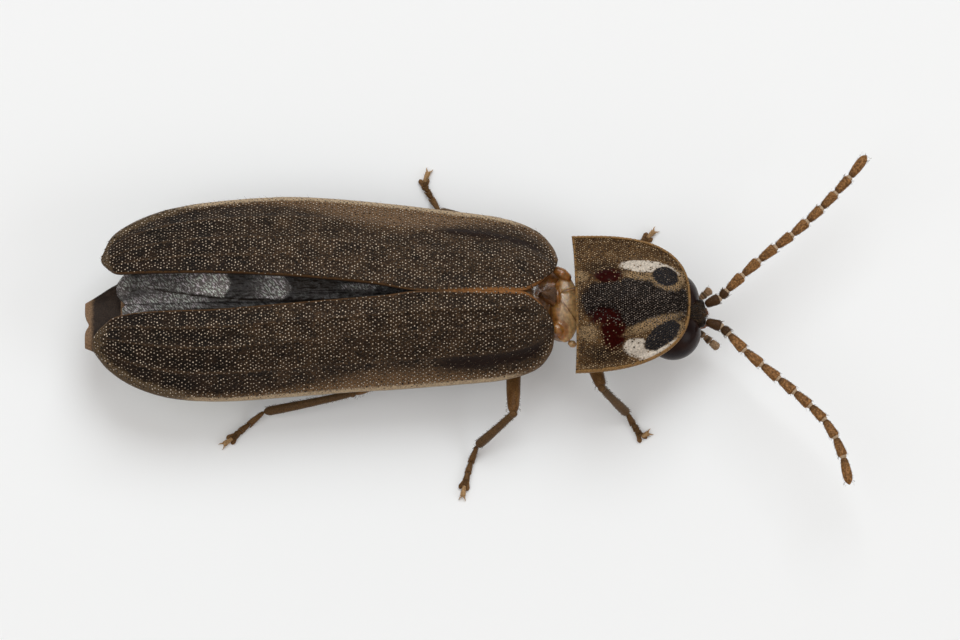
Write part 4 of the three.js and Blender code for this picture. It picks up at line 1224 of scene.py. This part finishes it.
def antenna(name, side, material):
    start = on_head(ANTENNA_ROOT * [1, side, 1])
    lengths = np.array(ANTENNA_LENGTHS) * ANTENNA_STRETCH[name]
    points = chain_points(start, lengths, ANTENNA_HEADINGS[name], ANTENNA_RISE)
    form, coat = Form(), Coat()
    for i, (here, there) in enumerate(zip(points, points[1:])):
        final = i == LAST_JOINT
        away = unit(there - here)
        profile, flat = antenna_shape(i)
        begin, finish = here + away * (0.0 if i == 0 else 0.012), there - away * (0.0 if final else 0.018)
        shape = limb(begin, finish, profile, 22, 20, flat=flat, ends=(0.06, 0.22 if final else 0.1))
        share = held((shape[0] - begin) @ away / np.linalg.norm(finish - begin))
        form.add(*shape, dark=0.75 if i < 2 else 0.55 * fall(0.0, 0.5, share))
        if not final:
            link = [(0, 0.085), (0.5, 0.09), (1, 0.06)]
            form.add(*limb(there - away * 0.06, there + away * 0.04, link, 10, 14, flat=0.8), pale=1.0)
        coat.grow(begin, finish, (0.085, 0.13), 170, 0.055)
    form.piece(f"antenna_{name}", material, "antenna")
    coat.piece(f"hairs_antenna_{name}", "antenna", 0.007)


def palp(name, side, material):
    root, lengths, heading = PALPS[name]
    points = chain_points(on_head(root), lengths, [heading] * 3, math.radians(-10))
    form, coat = Form(), Coat()
    for i, (here, there) in enumerate(zip(points, points[1:])):
        near, far = PALP_RADII[i]
        profile = [(0, near), (0.7, far), (1, far * 0.9)]
        shape = limb(here, there, profile, ends=(0.1, 0.3 if i == 2 else 0.12))
        share = held((shape[0] - here) @ unit(there - here) / lengths[i])
        form.add(*shape, dark=0.9 * bell(share - 0.55, 0.25) * (i < 2))
        coat.grow(here, there, (near, far), 40, 0.05)
    inner = on_head([0.72, side * 0.1, -0.6])
    for _ in range(2):
        there = inner + [0.08, side * 0.03, -0.05]
        form.add(*limb(inner, there, [(0, 0.035), (0.7, 0.05), (1, 0.04)], ends=(0.1, 0.3)))
        inner = there
    form.piece(f"palp_{name}", material, "palp")
    coat.piece(f"hairs_palp_{name}", "palp", 0.006)


# Legs.
def claw(form, start, ahead, across, side):
    t = np.linspace(0, 1, 12)
    reach = ahead * 0.12
    path = start + reach * t[:, None] + across * side * (0.02 + 0.06 * np.sin(t * 1.9))[:, None]
    path[:, 2] = lerp(start[2], 0.022, t**1.5)
    radius = 0.021 * (1 - t) + 0.003
    form.add(*swept(path, radius, 8), pale=0.85)


def foot(form, coat, ankle, joints):
    """The five joints of a foot: three with small spines, one with two lobes, and the last with two claws."""
    here = ankle
    for i, (x, y) in enumerate(joints):
        there = np.array([x, y, 0.085])
        away = unit(there - here)
        across = unit(np.cross([0, 0, 1.0], away))
        if i < 3:
            form.add(*limb(here, there, FOOT_JOINT, 14, 14, flat=0.85, ends=(0.08, 0.06)), dark=0.35)
            for k in (1, -1):
                form.add(*limb(there - away * 0.05 + across * 0.05 * k - [0, 0, 0.02],
                               there + away * 0.045 + across * 0.075 * k - [0, 0, 0.05],
                               [(0, 0.03), (1, 0.015)], 8, 8), dark=0.1, pale=0.3)
        elif i == 3:
            form.add(*limb(here, there, [(0, 0.05), (1, 0.06)], 10, 12, flat=0.8), dark=0.35)
            for k in (1, -1):
                lobe_end = there + away * 0.11 + across * 0.105 * k
                lobe_end[2] = 0.045
                lobe = [(0, 0.04), (0.7, 0.065), (1, 0.05)]
                form.add(*limb(here + across * 0.03 * k, lobe_end, lobe, 12, 12, flat=0.55, ends=(0.1, 0.3)),
                         dark=0.15, pale=0.15)
        else:
            there = there + away * 0.05
            form.add(*limb(here, there, CLAW_JOINT, 14, 12, ends=(0.05, 0.1)), pale=0.75)
            for k in (1, -1):
                claw(form, there - away * 0.02, away, across, k)
        coat.grow(here, there, (0.05, 0.075), 45 if i < 4 else 20, 0.06)
        here = there


def leg(name, material):
    root, coxa, knee, ankle, *joints = (np.array(place) for place in LEGS[name])
    form, coat = Form(), Coat()
    form.add(*limb(root, lerp(root, coxa, 1.06), COXA, ends=(0.1, 0.25)), dark=0.2)
    form.add(*globe(coxa, (0.17, 0.18, 0.17)), dark=0.1)
    form.add(*limb(coxa, knee, THIGH, rings=30, sides=24, bow=(0, 0, 0.05), ends=(0.08, 0.1)))
    form.add(*globe(knee, (0.105, 0.105, 0.105), 12, 14), dark=0.45)
    bow = (0, np.sign(knee[1]) * 0.02, 0.03)
    form.add(*limb(knee, ankle, SHIN, rings=30, sides=20, bow=bow, ends=(0.04, 0.06)), dark=0.6)
    along_shin = unit(ankle - knee)
    for k in (1, -1):
        spur = ankle - along_shin * 0.06 + np.array([0.05 * k, 0.03 * k, 0.0])
        spur_end = spur + along_shin * 0.13 + [0.04 * k, 0.02 * k, 0]
        form.add(*limb(spur, spur_end, [(0, 0.018), (1, 0.004)], 8, 8), dark=0.5)
    foot(form, coat, ankle, joints)
    coat.grow(coxa, knee, (0.15, 0.16), 300, 0.06)
    coat.grow(knee, ankle, (0.09, 0.11), 360, 0.06)
    form.piece(name, material, "leg")
    coat.piece(f"hairs_{name}", "leg")


# Stage: floor, lights and camera.
def floor():
    mesh = bpy.data.meshes.new("floor")
    half = FLOOR_HALF_WIDTH
    corners = [(-half, -half, 0), (half, -half, 0), (half, half, 0), (-half, half, 0)]
    mesh.from_pydata(corners, [], [(0, 1, 2, 3)])
    mesh.materials.append(Paint("white_sheet", 0.6, {**SATIN, "Base Color": SHEET_WHITE}).material)
    plane = placed("floor", mesh)


def soft_light(name, place, size, power, shadow=True):
    lamp = bpy.data.lights.new(name, "AREA")
    lamp.shape = "DISK"
    lamp.size = size
    lamp.energy = power
    lamp.color = LAMP_WHITE
    lamp.use_shadow = shadow
    light = placed(name, lamp)
    light.location = place
    light.rotation_euler = (-Vector(place)).to_track_quat("-Z", "Y").to_euler()


def lights():
    soft_light("key_softbox", (0.06, 0.22, 0.32), 0.28, 0.7)
    soft_light("fill_softbox", (-0.2, -0.05, 0.32), 0.34, 0.38)
    soft_light("front_softbox", (0.32, -0.14, 0.2), 0.24, 0.27)
    soft_light("flash", (-0.05, 0.11, 0.36), 0.03, 0.14, shadow=False)
    world = bpy.data.worlds.new("studio")
    world.use_nodes = True
    room = world.node_tree.nodes["Background"]
    room.inputs["Color"].default_value = ROOM_WHITE
    room.inputs["Strength"].default_value = ROOM_STRENGTH
    bpy.context.scene.world = world
    bpy.context.scene.view_settings.view_transform = "Standard"


def camera():
    """Looks down from high above the right side, with the head to the right."""
    tilt = math.radians(VIEW_HEIGHT)
    place = np.array(VIEW_TARGET) + VIEW_DISTANCE * np.array([0, -math.cos(tilt), math.sin(tilt)])
    lens = bpy.data.cameras.new("camera")
    lens.sensor_width = 36
    lens.lens = 36 * VIEW_DISTANCE / VIEW_WIDTH
    lens.clip_start = 0.01
    lens.clip_end = 10
    viewer = placed("camera", lens)
    viewer.location = to_metres(place)
    viewer.rotation_euler = (math.pi / 2 - tilt, 0, 0)
    bpy.context.scene.camera = viewer


def build():
    skins = {}
    for name, (colours, finish) in CUTICLES.items():
        skins[name] = cuticle(f"{name}_cuticle", *colours, **finish)
    membrane, facets = wing_material(), eye_material()
    shield(skins["shield"])
    for name, side in SIDES.items():
        wing_case(name, side, skins["wing_case"])
        folded_wing(name, side, membrane)
        eye(name, side, facets)
        mandible(name, side, skins["mandible"])
        palp(name, side, skins["palp"])
        antenna(name, side, skins["antenna"])
    middle_body(skins["thorax"], skins["amber"])
    scutellum(skins["scutellum"])
    abdomen_part("abdomen_front", 0, 4, 0.0, skins["abdomen"], "abdomen")
    abdomen_part("abdomen_lantern", 4, 6, 0.15, skins["lantern"], "lantern")
    abdomen_part("abdomen_tip", 6, 8, 0.3, skins["tail"], "abdomen_tip", tail=True)
    head_capsule(skins["head"])
    for name in LEGS:
        leg(name, skins["leg"])


floor()
lights()
camera()
build()
